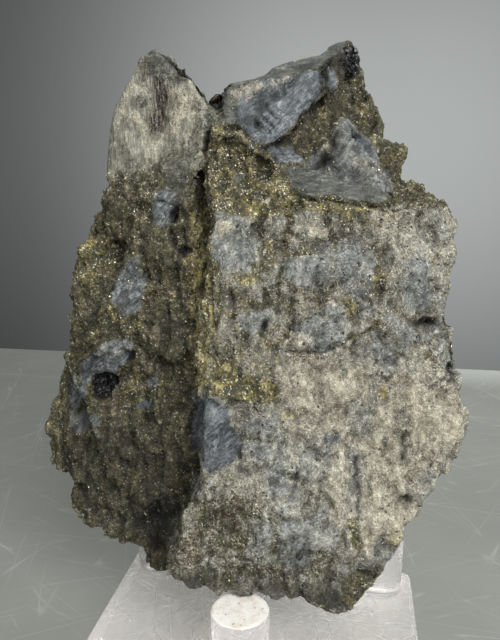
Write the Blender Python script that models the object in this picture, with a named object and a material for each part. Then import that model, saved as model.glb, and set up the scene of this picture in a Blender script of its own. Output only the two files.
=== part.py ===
"""Uraninite in lignite: a broken lump of pyrite-crusted lignite, set on a clear three-peg stand.

The lump is one piece of rock. It is built as overlapping fracture blocks that are fused into one
body, then given its swells, breaks, crags and grit. Its own frame has X to the right along the
broad face, Y away from the viewer and Z up from the table, so the outlines below read as a front
view. The stand is a slab with three pegs, and the lump is turned a little on it.
"""

import math
import random

import bmesh
import bpy
import numpy as np
from mathutils import Vector, noise
from mathutils.bvhtree import BVHTree

MM = 0.001

# Stand: a 3 by 2 inch piece of half inch sheet, with half inch pegs.
SLAB_WIDTH = 76.2
SLAB_DEPTH = 50.8
SLAB_THICK = 12.7
SLAB_CORNER = 2.5
SLAB_EDGE = 0.5
CORNER_STEPS = 5
PEG_RADIUS = 6.35
PEG_EDGE = 0.4
PEG_SIDES = 32
CLEARANCE = 0.3
PEG_PLACES = {
    "front_peg": (-1.3, -15.6),
    "rear_left_peg": (-29.3, 17.9),
    "rear_right_peg": (29.0, 17.9),
}

# Lump: where it stands on the slab, and how fine its surface is.
LUMP_TURN = 9.4
LUMP_PLACE = (-3.3, 9.6)
GRID = 1.0
SOFTEN_STEPS = 2
LUMP_TRIANGLES = 8000

# Fracture blocks. Each has its outline as (x, z), the depth y of its front and back faces at the
# outline's middle, and how each face is turned to the left and leans back, in degrees. "shrink"
# is the size of the back face against the front one, and "lift" moves the back face up.
BLOCKS = {
    "broad_face": {
        "outline": [
            (-6, 128.5), (-2, 128), (2.5, 125), (7.2, 120), (8.7, 115.5), (18.6, 113.5), (30, 112),
            (33, 112), (36.5, 114), (40.5, 113), (44, 111.5), (46, 109.5), (47, 106.5), (45.5, 103),
            (45.5, 94), (44.7, 89), (46, 83.5), (47, 77), (49, 70), (49.2, 66.5), (49, 61.5),
            (46, 54), (41, 48), (40, 43.5), (36, 40.5), (35, 37), (30.5, 29.5), (26, 23),
            (24, 20.6), (21.4, 19.6), (18.2, 20), (15, 22.3), (10, 24), (4, 26), (-2.2, 26.6),
            (-6, 26.2), (-12.5, 28.5), (-17, 30), (-21, 31.5), (-18.7, 36.2), (-15.6, 42.7),
            (-12.6, 51.4), (-12.5, 62.3), (-13.2, 81.6), (-10.6, 94.2), (-9, 106.7), (-9, 121),
            (-8.6, 126.2),
        ],
        "front": (-14.0, -5.0, 8.0),
        "back": (16.0, 10.0, -6.0),
        "shrink": 0.88,
        "lift": 2.0,
    },
    "left_flank": {
        "outline": [
            (-9.6, 124), (-11, 106), (-14, 79), (-15.4, 47.7), (-18.6, 26), (-20.5, 20.3),
            (-26.6, 20.3), (-27.2, 24.6), (-28.6, 26), (-31.7, 24.6), (-34.9, 25), (-39, 26.4),
            (-42.4, 27.2), (-46.4, 28.2), (-48.6, 31.6), (-48.6, 36.9), (-50.8, 40.7), (-54, 40.7), (-55.6, 45.3),
            (-55.1, 53.4), (-54.5, 58.4), (-50.3, 66.7), (-49.7, 72.2), (-46.4, 79.8), (-44.8, 88),
            (-43.2, 98.3), (-40, 104.2), (-38.4, 107.1), (-35.8, 112), (-33.6, 114.3),
            (-32.8, 119.3), (-22.3, 120.3),
        ],
        "front": (4.0, 24.0, 3.0),
        "back": (23.0, -12.0, -8.0),
        "shrink": 0.80,
        "lift": 1.0,
    },
    "horn": {
        "outline": [
            (-21.3, 146.2), (-18.2, 144.6), (-16.2, 143.4), (-12, 139.2), (-9, 136.2), (-7.4, 134.1),
            (-5.2, 131), (-5.2, 128.8), (-8, 126.5), (-9.3, 122.8), (-11.1, 106.2), (-13, 93),
            (-24, 92), (-31, 104), (-34, 112.6), (-33.2, 117), (-33.2, 121), (-32.8, 125), (-32.2, 129),
            (-31, 132.2), (-30, 135.5), (-28.8, 138), (-26.6, 140), (-25.4, 143.4), (-23.3, 144.9),
        ],
        "front": (0.5, 15.0, 4.0),
        "back": (15.0, 4.0, -14.0),
        "shrink": 0.90,
        "lift": -2.0,
    },
    "groove_bed": {
        "outline": [
            (-4, 127), (-12, 122), (-16, 100), (-20, 60), (-24, 27), (-14, 28), (0, 34), (0, 100),
        ],
        "front": (-2.0, 6.0, 4.0),
        "back": (20.0, 0.0, 0.0),
        "shrink": 0.9,
        "lift": 2.0,
    },
    "notch_back": {
        "outline": [(-14, 108), (-13, 134.5), (-8, 138.4), (-4.5, 139.2), (1, 139.4), (3, 108)],
        "front": (10.0, 0.0, 0.0),
        "back": (18.0, 0.0, 0.0),
        "shrink": 0.9,
        "lift": 0.0,
    },
    "lignite_block": {
        "outline": [
            (-5.9, 138), (-0.4, 138.1), (2.9, 139.2), (6.4, 140.5), (10.6, 141.2), (15.3, 142.6),
            (19.1, 145.6), (22, 144.3), (22.2, 139), (19.7, 135.4), (15.4, 134.5), (13, 130.8),
            (9.6, 127.3), (5.8, 124.4), (2.9, 124.6), (0.4, 126.3), (-3.1, 128.2), (-6.2, 128.2),
            (-6.2, 132.3),
        ],
        "front": (1.0, -7.0, 6.0),
        "back": (17.0, 6.0, -10.0),
        "shrink": 0.95,
        "lift": 1.0,
    },
    "block_crest": {
        "outline": [
            (-6.2, 139.2), (-0.9, 139.8), (2.8, 140.9), (5.3, 142.7), (9.8, 144.4), (16.5, 146.2),
            (19, 148), (21.6, 149.3), (24.6, 148.2), (26, 145.2), (25.8, 141.5), (23.4, 138.5),
            (11.6, 133), (-4.6, 133),
        ],
        "front": (9.0, -4.0, 0.0),
        "back": (19.0, 8.0, -12.0),
        "shrink": 0.9,
        "lift": 0.0,
    },
    "valley_floor": {
        "outline": [
            (2, 122), (3, 127), (7, 127), (10, 129.5), (14, 133), (16, 137), (22, 138), (24, 132),
            (22, 122), (16, 114), (8, 114),
        ],
        "front": (4.5, -4.0, 30.0),
        "back": (18.0, 0.0, 0.0),
        "shrink": 0.9,
        "lift": 0.0,
    },
    "upper_step": {
        "outline": [
            (23.8, 144), (26, 142.5), (28, 141), (28.8, 137.5), (31.3, 135), (33, 131.4),
            (32.2, 127), (33, 125), (35.5, 112.5), (26, 104.5), (0, 104.4), (0, 124), (11.9, 131),
            (21, 139),
        ],
        "front": (9.0, 4.0, 16.0),
        "back": (22.0, 12.0, -10.0),
        "shrink": 0.86,
        "lift": -1.0,
    },
    "shoulder_step": {
        "outline": [
            (30.5, 126.6), (35, 126.4), (37.2, 124.4), (36.6, 120.5), (37, 118.4), (40, 117.4),
            (43, 115.4), (46.5, 111.6), (45, 98.5), (28.5, 98.5), (28.3, 119.4),
        ],
        "front": (7.0, 2.0, 8.0),
        "back": (19.0, 16.0, -12.0),
        "shrink": 0.88,
        "lift": -1.0,
    },
    "ledge": {
        "outline": [
            (6.6, 121.5), (12, 120), (18, 118), (24, 115.6), (31, 112.6), (30, 111), (18.5, 112.5),
            (8.7, 114),
        ],
        "front": (-4.6, -3.0, 42.0),
        "back": (14.0, 0.0, 0.0),
        "shrink": 0.9,
        "lift": 0.0,
    },
    "ledge_knob": {
        "outline": [
            (11.6, 118.8), (17.4, 122.5), (20.2, 128.4), (21.6, 130), (24.4, 126.6), (27, 124),
            (29.2, 121.2), (31.2, 117), (31.4, 112.6), (24.5, 115.4), (17.5, 117.8),
        ],
        "front": (-2.5, 6.0, 24.0),
        "back": (12.0, 0.0, -10.0),
        "shrink": 0.95,
        "lift": -1.0,
    },
    "back_bulge": {
        "outline": [
            (-30, 100), (-12, 116), (14, 112), (30, 92), (32, 62), (20, 40), (-10, 36), (-36, 44),
            (-44, 70),
        ],
        "front": (0.0, 0.0, 0.0),
        "back": (25.5, -5.0, 5.0),
        "shrink": 0.72,
        "lift": 0.0,
    },
    "back_rib": {
        "outline": [
            (-26, 128), (-10, 130), (2, 118), (6, 70), (-4, 38), (-20, 36), (-32, 62), (-34, 100),
        ],
        "front": (4.0, 0.0, 0.0),
        "back": (24.0, 20.0, -9.0),
        "shrink": 0.74,
        "lift": 3.0,
    },
}

# Swells and hollows of the front, as (x, z, half width, half height, rise towards the viewer).
FRONT_RELIEF = {
    "right lobe": (40, 62, 10, 14, 2.0),
    "lower right lobe": (26, 40, 10, 12, 1.6),
    "valley beside the lobes": (27, 60, 4, 15, -1.8),
    "foot of the broad face": (4, 38, 14, 8, 1.2),
    "shelf above the middle": (24, 84, 14, 8, 1.6),
    "brow of the shelf": (20, 87, 10, 4, 1.4),
    "hollow under the shelf": (20, 80.5, 11, 2.5, -1.2),
    "left brow": (-3, 96, 7, 12, 1.5),
    "middle knuckle": (14, 97, 6, 5, 1.2),
    "upper right swell": (36, 100, 9, 9, 1.6),
    "dark chip": (-6, 61, 4.5, 8, -1.8),
    "gold step over the chip": (2, 72, 8, 4, 1.2),
    "pit on the right edge": (40, 86, 3.5, 3, -2.0),
    "flank shoulder": (-40, 84, 7, 16, 1.8),
    "flank lower swell": (-40, 50, 10, 10, 1.6),
    "flank patch": (-31, 92, 6, 9, 1.0),
    "flank socket": (-37, 71, 5, 5, -2.2),
    "small socket": (-25, 67, 3, 4, -1.6),
    "horn knob": (-21, 110, 4, 4, 1.6),
    "horn knob hollow": (-17, 108, 2.5, 3, -2.4),
    "horn spine": (-29, 126, 5, 14, 1.2),
    "horn dish": (-20, 132, 5, 8, -1.0),
    "groove": (-17, 60, 3, 34, -2.6),
    "groove foot": (-21, 31, 3, 8, -3.0),
    "knob crown": (24, 121, 6, 5, 1.8),
}

# Smooth, silky places of the front, as (x, z, half width, half height, smoothness).
CALM_PLACES = {
    "horn": (-23, 126, 11, 19, 0.75),
    "lignite block": (8, 134, 14, 8, 0.85),
    "knob": (24, 121, 7, 8, 0.6),
    "ledge": (16, 116, 11, 3.5, 0.8),
    "dark chip": (-6, 61, 5, 9, 0.8),
}

# Breaks are flat patches: (how many, how far each reaches, how deep at most).
BREAKS = [(46, 13.0, 1.5), (150, 7.0, 1.0), (420, 3.6, 0.6)]
BREAK_SEED = 97
BREAK_TILT = 0.2
BREAK_RIM = 0.45
CRAG_HEIGHT = 0.5
CRAG_SIZE = 7.0
CRAG_MIDDLE = 1.2
GRIT_HEIGHT = 0.3
GRIT_SIZE = 2.2


def finish(name, colour, roughness, metallic=0.0, transmission=0.0):
    material = bpy.data.materials.new(name)
    material.use_nodes = True
    shader = material.node_tree.nodes["Principled BSDF"]
    shader.inputs["Base Color"].default_value = (*colour, 1.0)
    shader.inputs["Roughness"].default_value = roughness
    shader.inputs["Metallic"].default_value = metallic
    shader.inputs["Transmission Weight"].default_value = transmission
    return material


def new_object(name, mesh, material=None):
    thing = bpy.data.objects.new(name, mesh)
    bpy.context.scene.collection.objects.link(thing)
    if material:
        mesh.materials.append(material)
    return thing


def depth_on(face, middle, x, z):
    """Depth y of a block's front or back face at (x, z)."""
    depth, turn, lean = face
    across = (middle[0] - x) * math.tan(math.radians(turn))
    up = (z - middle[1]) * math.tan(math.radians(lean))
    return depth + across + up


def add_block(body, outline, front, back, shrink, lift):
    """Adds one closed prism to the bmesh, front outline to shrunken back outline."""
    middle = (
        sum(x for x, _ in outline) / len(outline),
        sum(z for _, z in outline) / len(outline),
    )
    near, far = [], []
    for x, z in outline:
        near.append(body.verts.new((x, depth_on(front, middle, x, z), z)))
        back_x = middle[0] + (x - middle[0]) * shrink
        back_z = middle[1] + (z - middle[1]) * shrink + lift
        far.append(body.verts.new((back_x, depth_on(back, middle, back_x, back_z), back_z)))
    faces = [body.faces.new(near), body.faces.new(far[::-1])]
    for i, corner in enumerate(near):
        following = (i + 1) % len(near)
        faces.append(body.faces.new((near[following], corner, far[i], far[following])))
    bmesh.ops.recalc_face_normals(body, faces=faces)


def fused_blocks():
    """All blocks as one closed mesh, in millimetres."""
    body = bmesh.new()
    for shape in BLOCKS.values():
        add_block(body, **shape)
    bmesh.ops.triangulate(body, faces=body.faces)
    mesh = bpy.data.meshes.new("lump_blocks")
    body.to_mesh(mesh)
    body.free()
    rough = new_object("lump_blocks", mesh)
    remesh = rough.modifiers.new("fuse", "REMESH")
    remesh.mode = "VOXEL"
    remesh.voxel_size = GRID
    evaluated = rough.evaluated_get(bpy.context.evaluated_depsgraph_get())
    fused = bpy.data.meshes.new_from_object(evaluated)
    bpy.data.objects.remove(rough)
    return fused


def points_and_normals(mesh):
    points = np.empty(len(mesh.vertices) * 3)
    mesh.vertices.foreach_get("co", points)
    normals = np.empty(len(mesh.vertices) * 3)
    mesh.vertex_normals.foreach_get("vector", normals)
    return points.reshape(-1, 3), normals.reshape(-1, 3)


def store(mesh, points):
    mesh.vertices.foreach_set("co", points.astype(np.float32).ravel())
    mesh.update()


def soften(mesh):
    """Evens out the fused grid's steps."""
    body = bmesh.new()
    body.from_mesh(mesh)
    for _ in range(SOFTEN_STEPS):
        bmesh.ops.smooth_vert(body, verts=body.verts, factor=0.5, use_axis_x=True,
                              use_axis_y=True, use_axis_z=True)
    body.to_mesh(mesh)
    body.free()


def raise_front(mesh):
    """Moves the front's vertices by the swells and hollows."""
    points, normals = points_and_normals(mesh)
    faces_viewer = np.clip((-normals[:, 1] - 0.1) / 0.4, 0.0, 1.0)
    for x, z, half_width, half_height, rise in FRONT_RELIEF.values():
        across = (points[:, 0] - x) / half_width
        up = (points[:, 2] - z) / half_height
        points[:, 1] -= rise * np.exp(-(across**2 + up**2)) * faces_viewer
    store(mesh, points)


def roughness(points, normals):
    """How rough each point is: 1 on broken rock, less in the calm places of the front."""
    rough = np.ones(len(points))
    faces_viewer = np.clip(-normals[:, 1] / 0.3, 0.0, 1.0)
    for x, z, half_width, half_height, smoothness in CALM_PLACES.values():
        across = (points[:, 0] - x) / half_width
        up = (points[:, 2] - z) / half_height
        inside = np.clip(1.6 - 1.2 * np.hypot(across, up), 0.0, 1.0)
        rough = np.minimum(rough, 1.0 - smoothness * inside * faces_viewer)
    return rough


def break_flat(mesh):
    """Planes off patches of the surface, each fading out at its rim."""
    dice = random.Random(BREAK_SEED)
    for count, reach, depth in BREAKS:
        points, normals = points_and_normals(mesh)
        rough = roughness(points, normals)
        for _ in range(count):
            at = dice.randrange(len(points))
            tilt = Vector([dice.gauss(0, BREAK_TILT) for _ in range(3)])
            facing = np.array((Vector(normals[at]) + tilt).normalized())
            plane = points[at] - facing * depth * dice.random()
            distance = np.linalg.norm(points - points[at], axis=1)
            near = distance < reach
            above = np.clip((points[near] - plane) @ facing, 0.0, depth) * rough[near]
            fade = np.clip((1.0 - distance[near] / reach) / BREAK_RIM, 0.0, 1.0)
            points[near] -= np.outer(above * fade, facing)
        store(mesh, points)


def roughen(mesh):
    """Adds crags and grit along the surface's own direction."""
    points, normals = points_and_normals(mesh)
    rough = roughness(points, normals)
    for i, (point, normal) in enumerate(zip(points, normals)):
        place = Vector(point)
        crag = noise.ridged_multi_fractal(place / CRAG_SIZE, 0.9, 2.1, 3, 0.9, 2.0) - CRAG_MIDDLE
        grit = noise.fractal(place / GRIT_SIZE, 1.0, 2.0, 2)
        points[i] += normal * rough[i] * (CRAG_HEIGHT * crag + GRIT_HEIGHT * grit)
    store(mesh, points)


def make_lump(place, material):
    """The lump, on the empty that turns and places it."""
    mesh = fused_blocks()
    soften(mesh)
    raise_front(mesh)
    break_flat(mesh)
    roughen(mesh)
    points, _ = points_and_normals(mesh)
    store(mesh, points * MM)
    lump = new_object("lignite_lump", mesh, material)
    mesh.calc_loop_triangles()
    thin = lump.modifiers.new("thin_out", "DECIMATE")
    thin.ratio = LUMP_TRIANGLES / len(mesh.loop_triangles)
    lump.parent = place
    return lump


def cylinder(name, radius, low, high, centre, material):
    """An upright round bar from height low to high, in millimetres."""
    body = bmesh.new()
    bmesh.ops.create_cone(body, cap_ends=True, segments=PEG_SIDES, radius1=radius * MM,
                          radius2=radius * MM, depth=(high - low) * MM)
    mesh = bpy.data.meshes.new(name)
    body.to_mesh(mesh)
    body.free()
    bar = new_object(name, mesh, material)
    bar.location = (centre[0] * MM, centre[1] * MM, (low + high) / 2 * MM)
    mesh.shade_smooth()
    mesh.set_sharp_from_angle(angle=math.radians(40))
    return bar


def bevel(thing, width):
    edge = thing.modifiers.new("edge", "BEVEL")
    edge.width = width * MM
    edge.segments = 2
    edge.limit_method = "ANGLE"
    edge.angle_limit = math.radians(50)


def make_slab(material):
    """The base, with rounded upright corners."""
    body = bmesh.new()
    bmesh.ops.create_cube(body, size=1.0)
    size = Vector((SLAB_WIDTH, SLAB_DEPTH, SLAB_THICK)) * MM
    bmesh.ops.scale(body, verts=body.verts, vec=size)
    upright = [e for e in body.edges if abs(e.verts[0].co.z - e.verts[1].co.z) > size.z / 2]
    bmesh.ops.bevel(body, geom=upright, offset=SLAB_CORNER * MM, segments=CORNER_STEPS,
                    profile=0.5, affect="EDGES", clamp_overlap=True)
    mesh = bpy.data.meshes.new("stand_base")
    body.to_mesh(mesh)
    body.free()
    slab = new_object("stand_base", mesh, material)
    slab.location.z = size.z / 2
    bevel(slab, SLAB_EDGE)


def underside_height(lump, centre):
    """Lowest point of the lump over a peg, in millimetres above the table."""
    bpy.context.view_layer.update()
    graph = bpy.context.evaluated_depsgraph_get()
    tree = BVHTree.FromObject(lump, graph)
    into_lump = lump.matrix_world.inverted()
    lowest = math.inf
    rings, spokes = 5, 24
    for ring in range(rings + 1):
        radius = PEG_RADIUS * ring / rings
        for spoke in range(spokes):
            angle = math.tau * spoke / spokes
            start = Vector((centre[0] + radius * math.cos(angle),
                            centre[1] + radius * math.sin(angle), 0.0)) * MM
            hit, _, _, _ = tree.ray_cast(into_lump @ start, Vector((0.0, 0.0, 1.0)))
            if hit:
                lowest = min(lowest, (lump.matrix_world @ hit).z / MM)
    return lowest


def make_pegs(lump, material):
    """Each peg stands on the slab and ends just under the lump."""
    for name, centre in PEG_PLACES.items():
        top = underside_height(lump, centre) - CLEARANCE
        peg = cylinder(name, PEG_RADIUS, SLAB_THICK + CLEARANCE, top, centre, material)
        bevel(peg, PEG_EDGE)


def main():
    for thing in list(bpy.data.objects):
        bpy.data.objects.remove(thing)
    rock = finish("pyritic_lignite", (0.20, 0.19, 0.16), 0.72, metallic=0.1)
    acrylic = finish("clear_acrylic", (0.93, 0.94, 0.94), 0.08, transmission=1.0)
    place = bpy.data.objects.new("lump_place", None)
    bpy.context.scene.collection.objects.link(place)
    place.location = (LUMP_PLACE[0] * MM, LUMP_PLACE[1] * MM, 0.0)
    place.rotation_euler.z = math.radians(LUMP_TURN)
    lump = make_lump(place, rock)
    make_slab(acrylic)
    make_pegs(lump, acrylic)


main()
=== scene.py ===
import math

import bmesh
import bpy
import numpy as np
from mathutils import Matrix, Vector, noise


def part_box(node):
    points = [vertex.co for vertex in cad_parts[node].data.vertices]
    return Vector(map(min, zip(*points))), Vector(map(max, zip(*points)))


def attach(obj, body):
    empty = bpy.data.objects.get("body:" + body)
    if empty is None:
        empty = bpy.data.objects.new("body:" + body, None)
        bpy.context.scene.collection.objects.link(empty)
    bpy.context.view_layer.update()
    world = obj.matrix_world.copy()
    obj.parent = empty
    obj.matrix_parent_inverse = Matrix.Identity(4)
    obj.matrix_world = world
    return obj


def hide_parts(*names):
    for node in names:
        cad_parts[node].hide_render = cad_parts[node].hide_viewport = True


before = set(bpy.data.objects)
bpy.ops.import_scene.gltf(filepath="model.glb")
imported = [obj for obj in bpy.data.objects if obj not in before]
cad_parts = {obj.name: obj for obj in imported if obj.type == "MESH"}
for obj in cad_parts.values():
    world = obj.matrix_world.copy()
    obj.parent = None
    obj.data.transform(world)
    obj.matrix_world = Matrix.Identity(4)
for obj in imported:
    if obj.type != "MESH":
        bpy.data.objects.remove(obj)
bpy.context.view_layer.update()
print("frame: the packed stand and lump are loaded")

mm = 0.001
lumpPlace = {"turn": 9.4, "x": -3.3, "y": 9.6}  # degrees and mm, as the lump stands on the slab

camera = {
    "place": (20.7, -135.4, 116.7),  # mm
    "pitch": 12.2,  # degrees downwards
    "turn": 9.4,
    "lens": 36.0,
}

light = {
    "aim": (0, 0, 85),  # mm, what every lamp points at
    "keyPlace": (330, -420, 430),  # mm, to the upper right of the viewer
    "keySize": 340,
    "keyPower": 5.6,
    "fillPlace": (-420, -330, 260),
    "fillSize": 420,
    "fillPower": 1.0,
    "rearPlace": (240, 1000, 340),  # behind the stand, so that its back isn't black
    "rearSize": 420,
    "rearPower": 3.6,
    "room": 0.20,  # grey of the room at eye level, then what it gains to the right and to the top
    "roomToRight": 0.30,
    "roomToTop": 0.40,
    "roof": 1.1,  # what the room gains high up behind the stand
    "backdrop": 0.10,  # grey of the backdrop at its dark left, then what its glow adds
    "backdropGlow": 0.34,
}

table = {
    "backEdge": 276,  # mm behind the middle of the stand
    "frontEdge": -900,
    "halfWidth": 1400,
    "edgeRadius": 3,
    "drop": 0.03,  # mm below the stand
    "colour": (0.222, 0.228, 0.207),
    "scratchColour": (0.7, 0.7, 0.68),
    "edgeHighlightColour": (0.44, 0.45, 0.42),  # painted highlight along the back edge, more to the right
    "leftShadeColour": (0.03, 0.033, 0.03),  # painted shade towards the left
}


# Frames: the lump's own frame is in mm, X along its broad face, Y away from the viewer.

def toLump(points):
    a = math.radians(lumpPlace["turn"])
    x = points[:, 0] / mm - lumpPlace["x"]
    y = points[:, 1] / mm - lumpPlace["y"]
    across = x * math.cos(a) + y * math.sin(a)
    away = y * math.cos(a) - x * math.sin(a)
    return np.column_stack((across, away, points[:, 2] / mm))


def toRow(points):
    a = math.radians(lumpPlace["turn"])
    x = points[:, 0] * math.cos(a) - points[:, 1] * math.sin(a) + lumpPlace["x"]
    y = points[:, 0] * math.sin(a) + points[:, 1] * math.cos(a) + lumpPlace["y"]
    return np.column_stack((x, y, points[:, 2])) * mm


# Mesh helpers

def link(name, mesh):
    piece = bpy.data.objects.new(name, mesh)
    bpy.context.scene.collection.objects.link(piece)
    return piece


def readPoints(mesh):
    points = np.empty(len(mesh.vertices) * 3)
    mesh.vertices.foreach_get("co", points)
    return points.reshape(-1, 3)


def readNormals(mesh):
    normals = np.empty(len(mesh.vertices) * 3)
    mesh.vertex_normals.foreach_get("vector", normals)
    return normals.reshape(-1, 3)


def writePoints(mesh, points):
    mesh.vertices.foreach_set("co", points.astype(np.float32).ravel())
    mesh.update()


def applied(piece):
    graph = bpy.context.evaluated_depsgraph_get()
    mesh = bpy.data.meshes.new_from_object(piece.evaluated_get(graph))
    old = piece.data
    piece.modifiers.clear()
    piece.data = mesh
    bpy.data.meshes.remove(old)
    return mesh


def noiseAt(points, size, shift=0.0):
    # smooth noise from about -1 to 1; size is one number or one for each axis, in mm
    scaled = points / np.array(size) + shift
    return np.array([noise.noise(Vector(p)) for p in scaled])


def fractalAt(points, size, octaves, shift=0.0):
    scaled = points / np.array(size) + shift
    return np.array([noise.fractal(Vector(p), 0.9, 2.1, octaves) for p in scaled])


def ridgesAt(points, size, shift=0.0):
    scaled = points / np.array(size) + shift
    return np.array([noise.ridged_multi_fractal(Vector(p), 0.9, 2.1, 3, 0.9, 2.0) for p in scaled])


def grainsAt(points, size, shift=0.0):
    # rounded grains: 1 at the middle of a cell, 0 between cells
    scaled = points / np.array(size) + shift
    return np.array([1.0 - noise.voronoi(Vector(p))[0][0] for p in scaled])


def patchesAt(points, size, shift=0.0):
    # broken patches: 0 on the seams between them, rising inwards, and a tone for each patch
    gaps, tones = [], []
    for p in points / np.array(size) + shift:
        distances, centres = noise.voronoi(Vector(p))
        gaps.append(distances[1] - distances[0])
        tones.append(0.5 + 0.5 * math.sin(centres[0].dot(Vector((12.9, 78.2, 37.7))) * 43.7))
    return np.array(gaps), np.array(tones)


def smoothstep(value):
    value = np.clip(value, 0.0, 1.0)
    return value * value * (3 - 2 * value)


def insideOutline(x, z, outline):
    # distance to the outline in mm, positive inside
    corners = np.array(outline, float)
    following = np.roll(corners, -1, axis=0)
    nearest = np.full(len(x), 1e9)
    inside = np.zeros(len(x), bool)
    for (ax, az), (bx, bz) in zip(corners, following):
        dx, dz = bx - ax, bz - az
        t = np.clip(((x - ax) * dx + (z - az) * dz) / max(dx * dx + dz * dz, 1e-9), 0, 1)
        nearest = np.minimum(nearest, np.hypot(x - ax - t * dx, z - az - t * dz))
        if az != bz:
            crossing = (az > z) != (bz > z)
            inside ^= crossing & (x < ax + (z - az) * dx / dz)
    return np.where(inside, nearest, -nearest)


def besideLine(x, z, line):
    nearest = np.full(len(x), 1e9)
    for (ax, az), (bx, bz) in zip(line, line[1:]):
        dx, dz = bx - ax, bz - az
        t = np.clip(((x - ax) * dx + (z - az) * dz) / max(dx * dx + dz * dz, 1e-9), 0, 1)
        nearest = np.minimum(nearest, np.hypot(x - ax - t * dx, z - az - t * dz))
    return nearest


# Where the broad face ends and the flank's groove begins: (height z, x), in mm.
faceEdge = [
    (20, -21), (31, -21), (43, -15.6), (51, -12.6), (72, -12.6), (82, -9.6), (94, -9), (107, -8.6),
    (128, -8.6)]
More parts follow.
